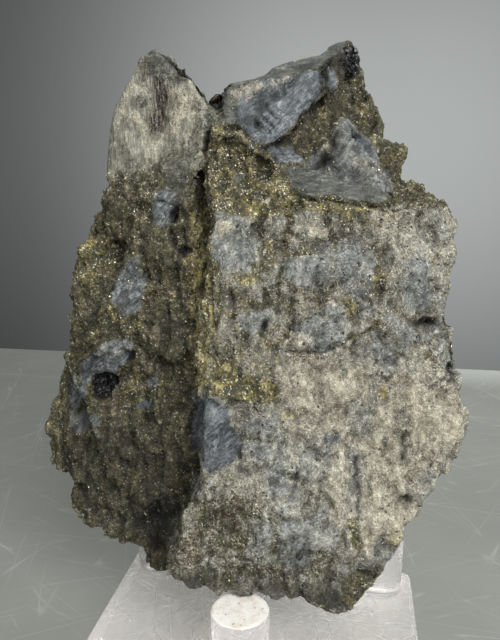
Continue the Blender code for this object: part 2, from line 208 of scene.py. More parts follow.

# Marks of the front, in mm: finish, strength, how soft the edge is, rise, outline as (x, z). Most are the
# lump's own colours; the black and slate marks noted below are painted shade, and one ochre mark is painted
# light.
marks = {
    "golden top": ("gold", 0.75, 1.2, 0.0, [
        (-8.5, 128.5), (-1.5, 128.5), (2, 125), (5.5, 121.5), (8.5, 116.5), (9, 114), (18.5, 113.5),
        (29.5, 112), (25.5, 109.5), (12, 110.5), (4, 108.5), (-4, 110), (-7.5, 111.5), (-8.5, 117.5)]),
    "grey stain in the golden top": ("blue", 0.45, 1.2, 0.0, [
        (-2, 126.5), (3, 126.5), (3.5, 123.5), (0, 122.5), (-2, 124)]),
    "grey grain in the golden top": ("coal", 0.6, 0.6, 0.3, [
        (-4, 119.5), (-1, 119), (-1, 117), (-3.5, 116.5)]),
    "left brow": ("blue", 0.8, 0.8, 0.4, [
        (-8, 108.5), (-4, 110), (0, 108.5), (2.5, 104.5), (2.5, 100), (-0.5, 97.5), (-5, 97.5),
        (-7.5, 100), (-8.5, 104.5)]),
    "bright left brow": ("cream", 0.7, 0.8, 0.3, [
        (-8, 109), (-4.5, 109.5), (-3, 107.5), (-4.5, 106), (-7, 105.5)]),
    "olive smear": ("gold", 0.7, 1.0, 0.0, [(1.5, 103), (5, 104.5), (6.5, 100.5), (3.5, 97), (1, 98.5)]),
    "olive dots": ("gold", 0.7, 0.8, 0.0, [(-4, 98.5), (-0.5, 98.5), (2.5, 96.5), (-2, 95.5)]),
    "blue patch": ("blue", 0.9, 0.9, 0.3, [
        (7, 99.5), (9.5, 101), (14.5, 101.5), (16.5, 98.5), (16.5, 96.5), (12, 94.5), (9.5, 95.5)]),
    "upper blue haze": ("blue", 0.75, 1.0, 0.3, [
        (18.5, 103), (21.5, 105), (26.5, 103), (27, 99), (26, 93.5), (21.5, 92.5), (19, 96)]),
    "cream spot above": ("cream", 0.6, 0.8, 0.2, [(11.5, 108), (17, 107), (16.5, 104.5), (12.5, 105)]),
    "lower blue patch": ("blue", 0.8, 0.9, 0.4, [
        (9.5, 87), (12.5, 88.5), (15.5, 90), (17.5, 92), (20, 90), (22, 88), (21.5, 85), (17, 81),
        (13, 80.5), (10, 81.5), (9.5, 84)]),
    "cream foot of the patch": ("cream", 0.5, 0.8, 0.2, [
        (8.5, 84.5), (12, 85.5), (13.5, 82.5), (11, 81), (9, 82)]),
    "yellow spot": ("gold", 0.8, 0.6, 0.2, [(20, 91.5), (22.5, 91), (22.5, 88), (20.5, 88)]),
    "dark patch": ("blue", 0.8, 0.8, 0.0, [
        (-2.5, 89), (0, 90), (4.5, 90), (5.5, 88), (3, 85.5), (1, 85), (-2, 86)]),
    "dark patch's notch": ("black", 0.8, 0.5, -0.5, [(2.5, 88), (4.5, 88), (3, 85.5), (1.5, 85)]),
    "upper dark patch": ("blue", 0.5, 1.2, 0.0, [(-0.5, 95), (3, 94), (3.5, 91.5), (0, 91.5)]),
    "grey middle": ("blue", 0.6, 1.5, 0.0, [(22.5, 93), (26.5, 94), (27.5, 88), (23, 87.5)]),
    "ochre above the grey": ("gold", 0.8, 0.6, -0.2, [
        (27, 99), (29, 99.5), (29.5, 96), (29, 91.5), (27.5, 91.5)]),
    "right blue patch": ("blue", 0.75, 1.0, 0.2, [
        (32, 100), (35, 101), (39, 100), (40, 93.5), (39, 89), (34.5, 89), (32, 93)]),
    "warm lower face": ("cream", 0.5, 4.0, 0.0, [
        (5, 78), (28, 78), (40, 74), (46, 66), (42, 54), (34, 44), (28, 36), (24, 34), (16, 46),
        (6, 60), (0, 68)]),
    "dark line": ("black", 0.6, 0.6, -0.5, [(34, 86), (39, 87.5), (41, 87), (40, 85), (35, 85.5)]),
    "brown hollow": ("crust", 0.35, 1.5, -0.4, [
        (40, 85), (44, 84.5), (45.5, 78), (43, 75.5), (39.5, 78.5), (38, 82)]),
    "golden belt": ("gold", 0.45, 1.8, 0.0, [
        (-13, 83), (-8, 84), (-2, 83), (7, 84), (7, 76.5), (6.5, 74), (-8, 74), (-13.5, 71)]),
    "yellow belt": ("ochre", 0.3, 1.5, 0.0, [
        (-12, 72), (-8, 78), (0, 77.5), (6.5, 75), (6, 71), (-2, 71), (-7, 71.5)]),
    "gold patch": ("gold", 1.0, 0.9, 0.2, [
        (-12.5, 70), (-8.5, 77), (-1, 76), (6, 74.5), (6.5, 70), (3, 69.5), (-3, 70), (-6, 71),
        (-10.5, 72.5)]),
    "pale middle": ("cream", 0.3, 2.0, 0.0, [
        (9.5, 79), (19, 80.5), (27.5, 80), (28.5, 77), (24.5, 72), (21.5, 70), (11, 68), (8.5, 72)]),
    "blue mottle": ("blue", 0.5, 1.5, 0.0, [(26.5, 80), (31, 81), (32, 76), (30, 73), (26.5, 74.5)]),
    "lower mottle": ("blue", 0.5, 1.2, 0.1, [
        (20.5, 70), (24.5, 71), (27, 66), (26, 60.5), (22, 62)]),
    "right lobe": ("cream", 0.7, 2.5, 0.6, [
        (35, 71.5), (41, 72.5), (46.5, 71), (48, 65.5), (47, 60), (39.5, 58.5), (35.5, 61), (36.5, 67.5)]),
    "blue tint on the lobe": ("blue", 0.45, 1.0, 0.0, [(39, 71), (42, 71), (42, 67), (39.5, 67.5)]),
    "dark chip": ("coal", 1.0, 0.3, -0.9, [
        (-13.5, 67.5), (-10, 71.5), (-7, 70), (-4.5, 67.5), (-4, 64), (-2, 62), (-2, 57.5), (-5.5, 55),
        (-8.5, 53), (-11, 55.5), (-14.5, 52.5), (-14, 60.5)]),
    # painted shadow at the sunken chip's right end
    "chip's dark end": ("black", 0.3, 1.0, 0.0, [
        (-7.5, 60), (-2.5, 61.5), (-2.5, 57.5), (-6, 55), (-8.5, 56.5)]),
    "upper blue streaks": ("blue", 0.6, 1.2, 0.0, [
        (26, 84.5), (28, 85.5), (31, 82), (32.5, 76.5), (31, 74.5), (28.5, 78)]),
    "blue haze of the middle": ("blue", 0.5, 1.2, 0.2, [
        (11, 61.5), (16, 62.5), (18.5, 58.5), (17.5, 51), (13.5, 49), (11, 55)]),
    "blue haze of the left": ("blue", 0.6, 1.8, 0.0, [(2.5, 55), (6, 57), (8, 52.5), (7, 47.5), (4, 48.5)]),
    "pale rib": ("cream", 0.35, 1.2, 0.5, [
        (16.5, 54.5), (19.5, 55), (20, 48.5), (19.5, 43.5), (17.5, 43.5), (17, 48)]),
    "second pale rib": ("cream", 0.3, 1.5, 0.5, [
        (25, 47.5), (29, 48.5), (29.5, 43.5), (27, 35), (24.5, 35.5)]),
    "pale diagonal": ("cream", 0.5, 1.2, 0.5, [
        (32, 69.5), (33, 67.5), (30.5, 63), (26.5, 57), (24.5, 58), (27, 62), (29.5, 67)]),
    "dark blue spot": ("coal", 0.7, 0.8, -0.3, [
        (16.5, 62.5), (20.5, 63), (21, 60.5), (18.5, 59.5), (16, 60.5)]),
    "dark flute": ("coal", 0.6, 1.2, -0.5, [
        (21, 59.5), (23.5, 59.5), (25.5, 56.5), (24.5, 52), (24, 48.5), (22, 49.5), (22, 54.5)]),
    "shaded right hollow": ("blue", 0.5, 1.5, -0.6, [
        (37.5, 84), (41, 85.5), (44.5, 84), (45.5, 81.5), (46, 76.5), (44.5, 73.5), (42, 75.5),
        (39.5, 79.5), (37.5, 81.5)]),
    # painted shade in the two slots
    "dark slot": ("black", 0.65, 0.7, -0.6, [
        (33.5, 61.5), (35, 63), (35.5, 57.5), (34.5, 54.5), (33.5, 57)]),
    "slot below the lobe": ("black", 0.5, 0.6, -0.6, [(33, 48), (37.5, 48.5), (37.5, 46.5), (34, 45)]),
    "dim foot": ("crust", 0.5, 3.0, 0.0, [
        (-20, 36), (-12, 48), (2, 49), (4.5, 43), (11, 40), (19, 34.5), (20, 21.5), (17, 21.5),
        (10.5, 26), (-4, 27.5), (-14, 30.5), (-19.5, 30.5)]),
    "mottle of the left foot": ("crust", 0.4, 2.5, 0.0, [
        (-12, 48.5), (-2, 51), (2, 48), (0, 42), (-7.5, 39.5), (-11.5, 42.5)]),
    "mottle of the foot": ("coal", 0.5, 1.2, -0.3, [
        (7, 44), (12.5, 45), (15, 40.5), (14, 32), (9, 30.5), (5.5, 36.5)]),
    # painted shadow where the underside curves away, along the lower rim and foot
    "shaded rim": ("black", 0.35, 1.4, 0.0, [
        (-14, 33), (-4.5, 32), (4.5, 30), (13.5, 27.5), (21.5, 24.5), (21.5, 20), (11, 22), (0, 24),
        (-11, 26), (-15.5, 29)]),
    "dark foot": ("black", 0.35, 1.6, 0.0, [
        (2, 31.5), (19, 30), (20, 22), (17, 22), (10.5, 26), (2, 28)]),
    "dark left foot": ("black", 0.45, 1.2, 0.0, [
        (-17.5, 33.5), (-12, 33.5), (-7.5, 29.5), (-11, 28), (-16, 30), (-18.5, 31.5)]),
    "golden stain": ("ochre", 0.35, 2.0, 0.0, [
        (-4, 40), (0, 41.5), (3, 43.5), (3, 40), (-0.5, 37.5), (-3.5, 37)]),
    "small golden stain": ("gold", 0.5, 0.7, 0.0, [(22, 42.5), (24, 43), (25, 38.5), (23, 38)]),
    "olive spot": ("gold", 0.8, 0.8, -0.2, [(22, 43), (24, 43.5), (25, 39), (24.5, 36.5), (22.5, 37.5)]),
    "golden corner": ("gold", 0.7, 1.2, 0.0, [
        (20, 30), (25, 32), (30.5, 34.5), (29, 29), (24, 21), (20, 21)]),
    "yellow edge": ("ochre", 0.7, 0.8, 0.2, [(30.5, 39), (33.5, 41.5), (34.5, 40), (32, 35.5)]),
    "pale seam": ("cream", 0.5, 1.0, 0.0, [
        (29.5, 43.5), (33.5, 46), (39, 45.5), (36.5, 42), (33, 37.5), (30, 37)]),
    "right seam": ("cream", 0.35, 1.2, 0.0, [
        (34.5, 47.5), (41.5, 52.5), (42.5, 51.5), (38, 45.5), (33, 40.5), (31.5, 42.5)]),
    "olive band": ("gold", 0.35, 1.5, 0.0, [
        (-11, 122), (-8.5, 123), (-8, 119.5), (-7.5, 111), (-10.5, 105.5), (-12, 106.5), (-12, 117.5)]),
    "valley": ("gold", 0.3, 0.6, -0.3, [
        (14, 135), (17.5, 135.5), (20.5, 135.5), (20, 133.5), (18, 131), (16, 127.5), (14, 123.5),
        (11, 123.5), (8, 125), (6, 125), (8.5, 127.5), (13, 131.5)]),
    "upper lumps": ("gold", 0.3, 1.0, 0.0, [
        (21, 140), (26, 141), (27, 137), (31, 132), (31.5, 126.5), (29, 125.5), (25, 129.5),
        (22.5, 133), (20, 134.5), (21, 137)]),
    "right lumps": ("gold", 0.2, 1.0, 0.0, [
        (31.5, 126.5), (34.5, 125.5), (35.5, 119.5), (43, 115), (46.5, 111), (41, 110.5),
        (31.5, 111.5), (33.5, 117.5)]),
    "knob": ("blue", 0.9, 1.0, 0.3, [
        (21, 131), (24, 130.5), (26, 127.5), (29, 124.5), (32, 120), (33.5, 117.5), (33, 113),
        (27, 114.5), (21, 116.5), (16, 118.5), (12, 120), (14, 122.5), (17, 125)]),
    "knob's slate side": ("slate", 0.7, 1.5, 0.0, [
        (13, 120), (16, 124), (20, 129), (22, 128), (21, 122), (18, 119)]),
    "knob's dark mottle": ("coal", 0.8, 0.8, -0.2, [
        (23, 130), (25.5, 128), (29, 123), (27, 121.5), (24.5, 124), (22.5, 127)]),
    "knob's lower mottle": ("coal", 0.6, 0.8, -0.2, [
        (20, 119), (24, 118), (29, 115.5), (32, 113), (33, 115), (30, 117.5), (25, 120), (21, 121)]),
    "knob's yellow streak": ("cream", 0.6, 0.6, 0.0, [
        (16.5, 125), (19, 127.5), (19.5, 125.5), (18, 123.5), (15.5, 123)]),
    # painted shade in the knob's hollow and pit
    "knob's dark hollow": ("black", 0.6, 0.9, -0.7, [
        (13, 120.5), (15.5, 122.5), (18.5, 122), (19, 119), (16, 118.5)]),
    "knob's pit": ("black", 0.9, 0.4, -0.8, [(24, 127.5), (25.5, 127.5), (25.5, 126), (23, 125.5)]),
    "knob's crown": ("cream", 0.3, 1.0, 0.2, [
        (22, 122), (25, 121.5), (28, 118), (28, 115), (24.5, 117.5), (21.5, 119.5)]),
    "ledge": ("slate", 1.0, 0.4, 0.2, [
        (8, 120), (12, 120), (17, 118), (22.5, 116.5), (27, 115.5), (30, 113), (27, 112.5),
        (20, 113.5), (13.5, 114), (9, 116)]),
    "first small chip": ("coal", 1.0, 0.3, 0.3, [(4, 124.5), (7, 124.5), (8, 121), (5.5, 121.5)]),
    "second small chip": ("coal", 0.8, 0.4, 0.2, [
        (7.5, 124.5), (8.5, 125), (11.5, 123), (12.5, 121), (9, 120.5), (8, 121.5)]),
    "horn": ("silk", 1.0, 1.6, 0.0, [
        (-21, 147), (-18, 146), (-13.5, 142), (-9, 138), (-4, 132.5), (-4, 129), (-8.5, 128.5),
        (-9.5, 122), (-11.5, 118.5), (-12.5, 113), (-14.5, 111.5), (-20, 114.5), (-26, 113),
        (-31, 110), (-35, 113.5), (-35, 121.5), (-33, 128), (-31, 134.5), (-27, 141), (-25, 146)]),
    "horn's blue foot": ("blue", 0.5, 3.0, 0.0, [
        (-27.5, 123.5), (-22.5, 121.5), (-16.5, 121.5), (-13, 118), (-15.5, 113.5), (-22.5, 115),
        (-27, 113.5), (-30, 118)]),
    "horn's dim foot": ("crust", 0.75, 3.5, 0.0, [
        (-12, 119), (-11, 112), (-20, 113), (-32, 108), (-38, 112), (-35, 117.5), (-27, 118),
        (-20, 119.5)]),
    "horn's dim right foot": ("slate", 0.55, 2.5, 0.0, [
        (-21, 121), (-17, 125), (-12, 127.5), (-10, 124), (-12, 118), (-14, 112), (-20, 113.5)]),
    "horn's brown hollow": ("plum", 0.6, 1.2, -0.6, [
        (-24, 142), (-19, 143), (-15.5, 140.5), (-14.5, 137.5), (-17, 134), (-18, 130), (-20, 127),
        (-22.5, 125.5), (-23.5, 130), (-22, 134), (-24.5, 138)]),
    "horn's dark cap": ("slate", 0.7, 1.0, 0.0, [
        (-23, 146), (-20, 146), (-15.5, 141.5), (-13.5, 138.5), (-15.5, 136.5), (-18.5, 137.5),
        (-21.5, 138.5), (-23.5, 141)]),
    # painted shade along the horn's right edge, which faces away from the light
    "horn's right edge": ("black", 0.5, 0.5, -0.3, [
        (-19.5, 144.5), (-13, 140), (-5.5, 132), (-5, 130), (-9.5, 134), (-14.5, 139), (-19, 143)]),
    "horn's plum streak": ("plum", 0.95, 0.7, -0.9, [
        (-20.5, 139.5), (-19, 138.5), (-19, 135), (-19.5, 132), (-20.5, 129.5), (-22, 126.5),
        (-23, 126.5), (-22.5, 130), (-21.5, 133.5), (-21, 137)]),
    "horn's blue flake": ("blue", 0.55, 0.9, 0.1, [
        (-25, 137.5), (-23.5, 138.5), (-21.5, 138), (-21.5, 134.5), (-22.5, 132), (-24, 133),
        (-25.5, 135)]),
    "horn's pale scoop": ("cream", 0.75, 0.7, 0.3, [
        (-26.5, 130.5), (-25, 128.5), (-23, 126), (-20.5, 125.5), (-17.5, 126.5), (-14.5, 129.5),
        (-13, 131.5), (-15, 132.5), (-17.5, 129.5), (-20, 127.5), (-22.5, 127.5), (-24, 129.5),
        (-25, 132)]),
    "horn's pale streaks": ("cream", 0.5, 1.0, 0.0, [
        (-18, 137), (-15.5, 137), (-13, 134), (-13.5, 131.5), (-16, 130.5), (-17.5, 132.5)]),
    "horn's warm side": ("cream", 0.3, 1.2, 0.0, [
        (-24.5, 143), (-23, 143), (-24.5, 139), (-26, 134.5), (-28, 129.5), (-30, 128.5),
        (-29, 134.5), (-26.5, 140)]),
    "horn knob": ("coal", 0.65, 1.2, 0.5, [
        (-22, 113.5), (-20, 115.5), (-17.5, 115), (-15.5, 112.5), (-15.5, 109.5), (-17, 107),
        (-20, 106.5), (-22, 108), (-22.8, 111)]),
    # painted shade in the hollow under the horn's knob
    "knob hollow": ("black", 0.95, 0.5, -1.4, [
        (-18, 110), (-16, 111), (-16, 108.5), (-17, 107.5), (-18.5, 107.5)]),
    "flank's grey patch": ("coal", 0.65, 1.2, 0.3, [
        (-30, 99), (-26, 100), (-24, 95), (-23.5, 93), (-26.5, 86.5), (-30.5, 85), (-32.5, 91),
        (-32.5, 95)]),
    "coaly inclusion": ("coal", 0.7, 0.6, 0.3, [
        (-38.5, 75.5), (-35.5, 79), (-28.5, 80.5), (-27.5, 78), (-28, 75.5), (-33, 71),
        (-34.5, 70.5), (-38.5, 70.5), (-40.5, 64), (-46, 57), (-46, 65.5), (-41, 74)]),
    "inclusion's pale top": ("cream", 0.3, 0.8, 0.0, [
        (-35.5, 78.5), (-30.5, 79.5), (-28, 79), (-28, 77), (-33.5, 75), (-37, 74.5)]),
    "coaly hollow": ("black", 1.0, 0.3, -1.6, [
        (-38.5, 70), (-35.5, 71), (-32.5, 70), (-33.5, 66.5), (-36, 64), (-38, 65), (-39, 67.5)]),
    "small coaly hollow": ("black", 0.9, 0.4, -0.9, [
        (-29.5, 76.5), (-27.5, 77), (-28, 74.5), (-29.5, 74)]),
    "lower inclusion": ("coal", 0.6, 0.8, 0.2, [
        (-46, 57), (-37.5, 62.5), (-36.5, 59.5), (-43.5, 52.5), (-46, 54.5)]),
    "flank chip": ("coal", 0.8, 0.5, -0.5, [
        (-27.5, 64), (-23.5, 65), (-23.5, 63), (-26, 61.5), (-28, 62.5)]),
    "upper flank chip": ("coal", 0.7, 0.5, -0.5, [
        (-24.5, 70.5), (-22, 70.5), (-22, 68.5), (-24.5, 67.5)]),
    "flank's grey band": ("blue", 0.35, 1.5, 0.0, [
        (-19, 84), (-14.5, 84), (-14.5, 76), (-18.5, 76)]),
    "flank's golden shoulder": ("gold", 0.6, 2.0, 0.0, [
        (-40, 104), (-32, 105.5), (-31, 99.5), (-33.5, 95), (-38, 91), (-42.5, 94)]),
    "flank's golden foot": ("gold", 0.3, 2.5, 0.0, [
        (-51, 66), (-47.5, 67), (-46.5, 54.5), (-48, 43), (-53, 44), (-53.5, 54)]),
    "flank's dim half": ("black", 0.22, 5.0, 0.0, [
        (-50, 64), (-38, 66), (-28, 66), (-18, 62), (-18, 42), (-24, 30), (-44, 34), (-52, 46)]),
    "flank's dim foot": ("blue", 0.2, 2.5, 0.0, [
        (-44, 40), (-30.5, 41.5), (-30.5, 30), (-37.5, 28), (-43.5, 31)]),
    "band of golden crust": ("gold", 0.9, 1.2, 0.0, [
        (-13.5, 109.5), (-8, 110), (-8, 100.5), (-8, 92), (-7.5, 85.5), (-9.5, 77), (-13.5, 68),
        (-15, 75.5), (-14, 90.5), (-13.5, 99.5)]),
    # painted shade in the hole
    "hole in the flank": ("black", 0.85, 0.6, -1.0, [
        (-17, 102.5), (-14, 103), (-13, 101), (-15, 100), (-16.5, 100.5)]),
    # painted shade in the cleft and the two slits
    "cleft by the horn": ("black", 1.0, 0.25, -2.0, [
        (-9, 136.5), (-7.5, 137), (-6.3, 138.5), (-6, 133), (-5.5, 129), (-6.5, 130.5), (-8.3, 134.2)]),
    # painted shade deep in the groove at the flank's foot
    "painted shade in the lower groove": ("black", 0.45, 2.0, -1.0, [
        (-29.5, 32.5), (-24.5, 40), (-21, 41), (-18.5, 34), (-25, 22), (-27, 27.5)]),
    "slit by the broad face": ("black", 0.9, 0.35, -1.0, [
        (-8.5, 92), (-8, 92), (-8, 86), (-8.5, 85.5)]),
    "slit by the horn": ("black", 0.95, 0.3, -1.5, [
        (-10, 127), (-8.5, 127.5), (-8.5, 125), (-9.5, 122.5), (-10, 122.5)]),
    "block's beige facet": ("slate", 0.85, 0.4, 0.0, [
        (-6.5, 138), (-2, 137.5), (-2, 134), (-2.5, 130), (-5, 128.5), (-6.5, 133)]),
    "block's face": ("coal", 1.0, 0.4, 0.0, [
        (-2, 137.5), (5.5, 139), (15.5, 141.5), (17, 138.5), (15.5, 135), (12.5, 132), (8.5, 127.5),
        (6, 125), (2, 125), (-1.5, 127.5), (-3, 129.5)]),
    "block's dark streak": ("coal", 1.0, 0.7, -0.3, [
        (1, 131), (4, 133.5), (8, 136), (12, 138.5), (15, 141), (16.5, 139.5), (13, 136.5), (9, 134),
        (6, 132), (3, 129.5)]),
    "block's cream band": ("cream", 0.5, 0.5, 0.1, [
        (-4, 136), (-2.5, 139), (2.5, 138), (7.5, 139.5), (10.5, 141), (8.5, 138.5), (4.5, 137),
        (1, 135), (-1.5, 134.5), (-3.5, 133.5)]),
    "block's dark band": ("black", 0.5, 0.6, -0.2, [
        (0.5, 132.5), (2.5, 135.5), (5.5, 137), (9, 138.5), (11, 140.5), (10, 137.5), (7.5, 135),
        (5, 133.5), (2.5, 131.5)]),
    "block's dark corner": ("black", 0.5, 1.0, 0.0, [
        (-3, 130), (2, 132), (2.5, 130), (1.5, 128.5), (-2, 128.5)]),
    # painted shade on the block's right end, which faces away from the light
    "painted shade on the block's right": ("black", 0.6, 0.8, -0.3, [
        (15, 141.5), (17.5, 143.5), (21, 146), (20.5, 141), (19, 136), (17, 135), (15.5, 138)]),
    "block's black end": ("black", 0.95, 0.5, 0.0, [
        (21.5, 147), (25, 149), (26.5, 146), (26, 141.5), (24.5, 140.5), (21, 141), (20, 143)]),
    "block's top": ("slate", 1.0, 0.4, 0.0, [
        (-6.5, 138.5), (-6, 140), (1, 141), (4, 143), (7.5, 145), (19.5, 149), (22, 149.5),
        (22, 146.5), (15.5, 142), (5.5, 139), (-2, 138)]),
    "hollow's brown": ("crust", 0.25, 0.8, -0.3, [
        (39.5, 83), (42.5, 83.5), (44, 79), (43, 75.5), (40.5, 77), (39, 80)]),
    "hollow's dark lip": ("black", 0.5, 0.8, -0.3, [
        (35, 87.5), (41, 87), (42, 84.5), (40, 83.5), (37, 85)]),
    "lower blue": ("blue", 0.5, 1.2, 0.1, [
        (1, 66), (4.5, 68.5), (8, 64), (8.5, 55), (5.5, 50.5), (2.5, 57.5)]),
    "foot's blue patch": ("blue", 0.45, 1.5, 0.1, [
        (-3, 44), (2.5, 46), (6.5, 42.5), (4.5, 36.5), (-1.5, 37.5)]),
    # painted shade on the horn's right side
    "horn's right shade": ("slate", 0.6, 1.8, -0.3, [
        (-14, 136), (-11, 135), (-8, 133.5), (-6, 131.5), (-6, 129.5), (-8.5, 127), (-9.5, 124.5),
        (-12, 125.5), (-12, 130.5), (-13, 133.5)]),
    "block's blue sliver": ("coal", 0.9, 0.5, 0.1, [
        (17.5, 141.5), (19, 141.5), (19.5, 138), (18, 136), (17.5, 138)]),
    # painted shadow under the block's overhanging lower edge
    "block's dark foot": ("black", 0.6, 0.5, -0.2, [
        (1, 130), (2.5, 130), (3.5, 126.5), (2, 127), (1, 128.5)]),
    # painted light on the broad face's left wall
    "lit edge of the broad face": ("ochre", 0.3, 1.5, 0.2, [
        (-13.5, 107), (-10, 108.5), (-8, 102.5), (-8, 92), (-8.5, 81), (-9.5, 72), (-13, 65.5),
        (-13.5, 78), (-13.5, 90.5), (-14, 99.5)]),
}

# Zones of painted light and shade, darker or brighter than their finish alone: share, how soft the edge is,
# outline.
paintedLightZones = {
    "dim lower flank": (-0.3, 4.0, [
        (-49, 51.5), (-36.5, 57.5), (-24.5, 55), (-14.5, 53), (-12, 53), (-14.5, 44), (-21.5, 24),
        (-32.5, 28.5), (-46, 35), (-49, 48.5)]),
    "dim foot of the groove": (-0.4, 2.0, [
        (-25, 35), (-18.5, 38.5), (-14.5, 44), (-16, 38.5), (-19, 33), (-25, 23.5)]),
    "dim golden top": (-0.25, 2.5, [
        (-8.5, 128.5), (-2, 128), (2.5, 125.5), (6.5, 121.5), (8.5, 116), (2, 115), (-7.5, 121)]),
    "bright upper right": (0.25, 4.0, [
        (29, 111), (42.5, 110.5), (45, 105.5), (44, 99.5), (39, 98), (30.5, 99.5)]),
    "dim golden corner": (-0.45, 2.0, [(19.5, 30), (30, 38), (30, 31), (22.5, 21.5), (19.5, 22.5)]),
    "lit edge": (0.6, 2.5, [(-14, 109.5), (-10, 108.5), (-8.5, 92), (-9.5, 72), (-14, 65.5), (-15, 83)]),
    "lit left rim": (0.3, 2.5, [
        (-40.5, 103), (-35.5, 106.5), (-36.5, 91.5), (-42, 81), (-47.5, 62), (-51, 52), (-50.5, 62.5),
        (-47.5, 75.5), (-43, 91)]),
    "dim block top": (-0.15, 1.0, [
        (-4.5, 139), (2.5, 141), (11.5, 144.5), (20, 147.5), (23.5, 147.5), (16.5, 143.5), (10.5, 142),
        (2.5, 138.5)]),
    "lit horn side": (0.15, 2.0, [
        (-15, 134), (-10, 132.5), (-7, 130), (-8.5, 127), (-12, 126.5), (-15, 130)]),
    "lit right hollow": (0.3, 2.0, [(34, 73), (42, 74), (45, 78.5), (45, 83.5), (40, 84.5), (35.5, 80.5)]),
    "dark line by the edge": (-0.5, 1.0, [
        (-15.5, 106), (-13.5, 105.5), (-13, 99), (-14, 83), (-15.5, 83), (-15, 99)]),
    "dim valley": (-0.2, 1.5, [
        (14, 135), (20, 135.5), (22, 141), (27, 137), (31, 132), (31, 126), (25, 129), (20, 131),
        (16, 127.5), (11, 123.5), (8, 125), (13, 131.5)]),
    "dim block": (-0.12, 1.0, [(-6, 138), (15, 142), (20, 146), (20, 138), (9, 128), (-3, 129)]),
    "dim knob": (-0.15, 1.5, [(13, 120), (21, 131), (26, 128), (33, 118), (33, 113), (21, 116.5)]),
    "dim horn tip": (-0.15, 1.5, [(-24, 147), (-18, 146), (-12, 140), (-15, 137), (-20, 139), (-24, 142)]),
    "lit lower face": (0.1, 4.0, [
        (2, 58), (12, 56), (28, 60), (40, 58), (38, 48), (30, 38), (20, 34), (8, 42), (-4, 46), (-3, 54)]),
    "dim left of the horn": (-0.1, 2.5, [
        (-25, 145), (-27, 139), (-31, 132), (-35, 121), (-35, 113), (-30, 114), (-28, 124), (-25, 134)]),
    "lit belt": (0.2, 3.0, [(-9.5, 77.5), (-2, 76.5), (6.5, 75), (7, 68.5), (-2, 67.5), (-9.5, 72)]),
}

# Cracks and shadow lines, in mm: width, depth, line as (x, z). Each is pressed in and painted dark along
# its line, as painted shade in the cracks and painted shadow under the ledge, the brow, the block's foot
# and along the horn's edge.
cracks = {
    "crack on the flank": (0.35, 0.9, [(-25.5, 102.5), (-25, 99.5), (-24, 95), (-21, 93.5)]),
    "crack at the right pit": (0.35, 0.9, [(39, 72), (41, 73.5), (43.5, 75), (45.5, 77.5)]),
    "second right crack": (0.3, 0.8, [(44.5, 77), (44.5, 75), (43.5, 73)]),
    "foot crack": (0.35, 0.8, [(12, 38.5), (11, 35.5), (10.5, 30.5)]),
    "groove of the lower face": (0.7, 0.6, [(24, 57), (23.5, 52.5), (24.5, 46)]),
    "shadow line under the brow": (0.3, 0.45, [(5.5, 81.5), (9.5, 81), (13, 80), (18, 81), (22, 83.5)]),
    "first block crack": (0.25, 0.4, [(2.5, 131.5), (4.5, 129), (6, 127)]),
    "line on the horn's knob": (0.3, 0.4, [(-22, 112), (-19.5, 112.5), (-17, 111), (-16, 109)]),
    "second block crack": (0.25, 0.4, [(1.5, 130), (3.5, 128), (5.5, 126)]),
    "third block crack": (0.25, 0.3, [(4, 132.5), (5.5, 130.5), (7.5, 128.5)]),
    "ledge shadow": (0.5, 1.0, [(9, 114.5), (13.5, 113), (20, 112.5), (27, 111.6), (30.5, 111.5)]),
    "shadow line under the block's foot": (0.5, 1.0, [
        (-5, 128.3), (-1.5, 127.5), (1.5, 124.2), (6, 124.2), (9, 126.6), (13, 131), (16, 134.6)]),
    "chip's rim": (0.35, 0.6, [(-1.7, 62), (-1.7, 59.5), (-2.2, 57)]),
    "block's upright line": (0.25, 0.4, [(16, 142.5), (16, 138.5), (16, 135)]),
    "horn's edge line": (0.35, 0.5, [(-18, 142.5), (-15.5, 140.5), (-12, 137.5), (-9, 134.5), (-6.5, 132)]),
    "crack past the ledge": (0.35, 0.9, [(29.5, 115), (33.5, 113.5), (33.5, 111.5)]),
    "knob's crack": (0.25, 0.5, [(23.5, 129), (23.5, 125.5), (23.5, 123.5)]),
    "knob's side crack": (0.25, 0.4, [(22.5, 126.5), (20, 124.5), (19, 123.5)]),
    "short crack": (0.3, 0.5, [(11, 55), (10, 52)]),
}

# Single grains of another colour: finish, radius and place (x, z), in mm.
spots = {
    "yellow grain": ("ochre", 1.2, (29.5, 71.0)),
    "pale grain": ("cream", 0.9, (36.0, 71.0)),
    "yellow streak": ("ochre", 0.8, (8.3, 66.6)),
    "end of the yellow streak": ("ochre", 0.7, (10.0, 66.5)),
    "pale streak": ("cream", 0.8, (14.5, 67.5)),
    "ochre grain by the brow": ("ochre", 0.8, (-14.4, 98.8)),
    "yellow grain on the belt": ("ochre", 1.0, (-5.0, 76.7)),
    "grain on the flank": ("ochre", 0.7, (-22.3, 59.9)),
    "grain low on the flank": ("ochre", 0.7, (-41.1, 53.4)),
    "white grain": ("cream", 0.8, (17.7, 91.8)),
    "white grain above": ("cream", 0.6, (21.0, 106.5)),
    "white grain by the top": ("cream", 0.7, (3.5, 112.5)),
}

finishes = ("felt", "gold", "blue", "coal", "slate", "silk", "black", "cream", "ochre", "plum")


def cover(amounts, kind, share, near=slice(None)):
    # lays a finish over the ones before it in the list and takes away the ones after it
    first = 0 if kind == "crust" else finishes.index(kind)
    for name in finishes[first:]:
        amounts[name][near] *= 1 - share
    if kind != "crust":
        amounts[kind][near] += share


def onFront(points, normals):
    # 1 where the lump faces the viewer, 0 behind
    return smoothstep((0.4 - normals[:, 1]) / 0.4) * smoothstep((15.0 - points[:, 1]) / 3.0)


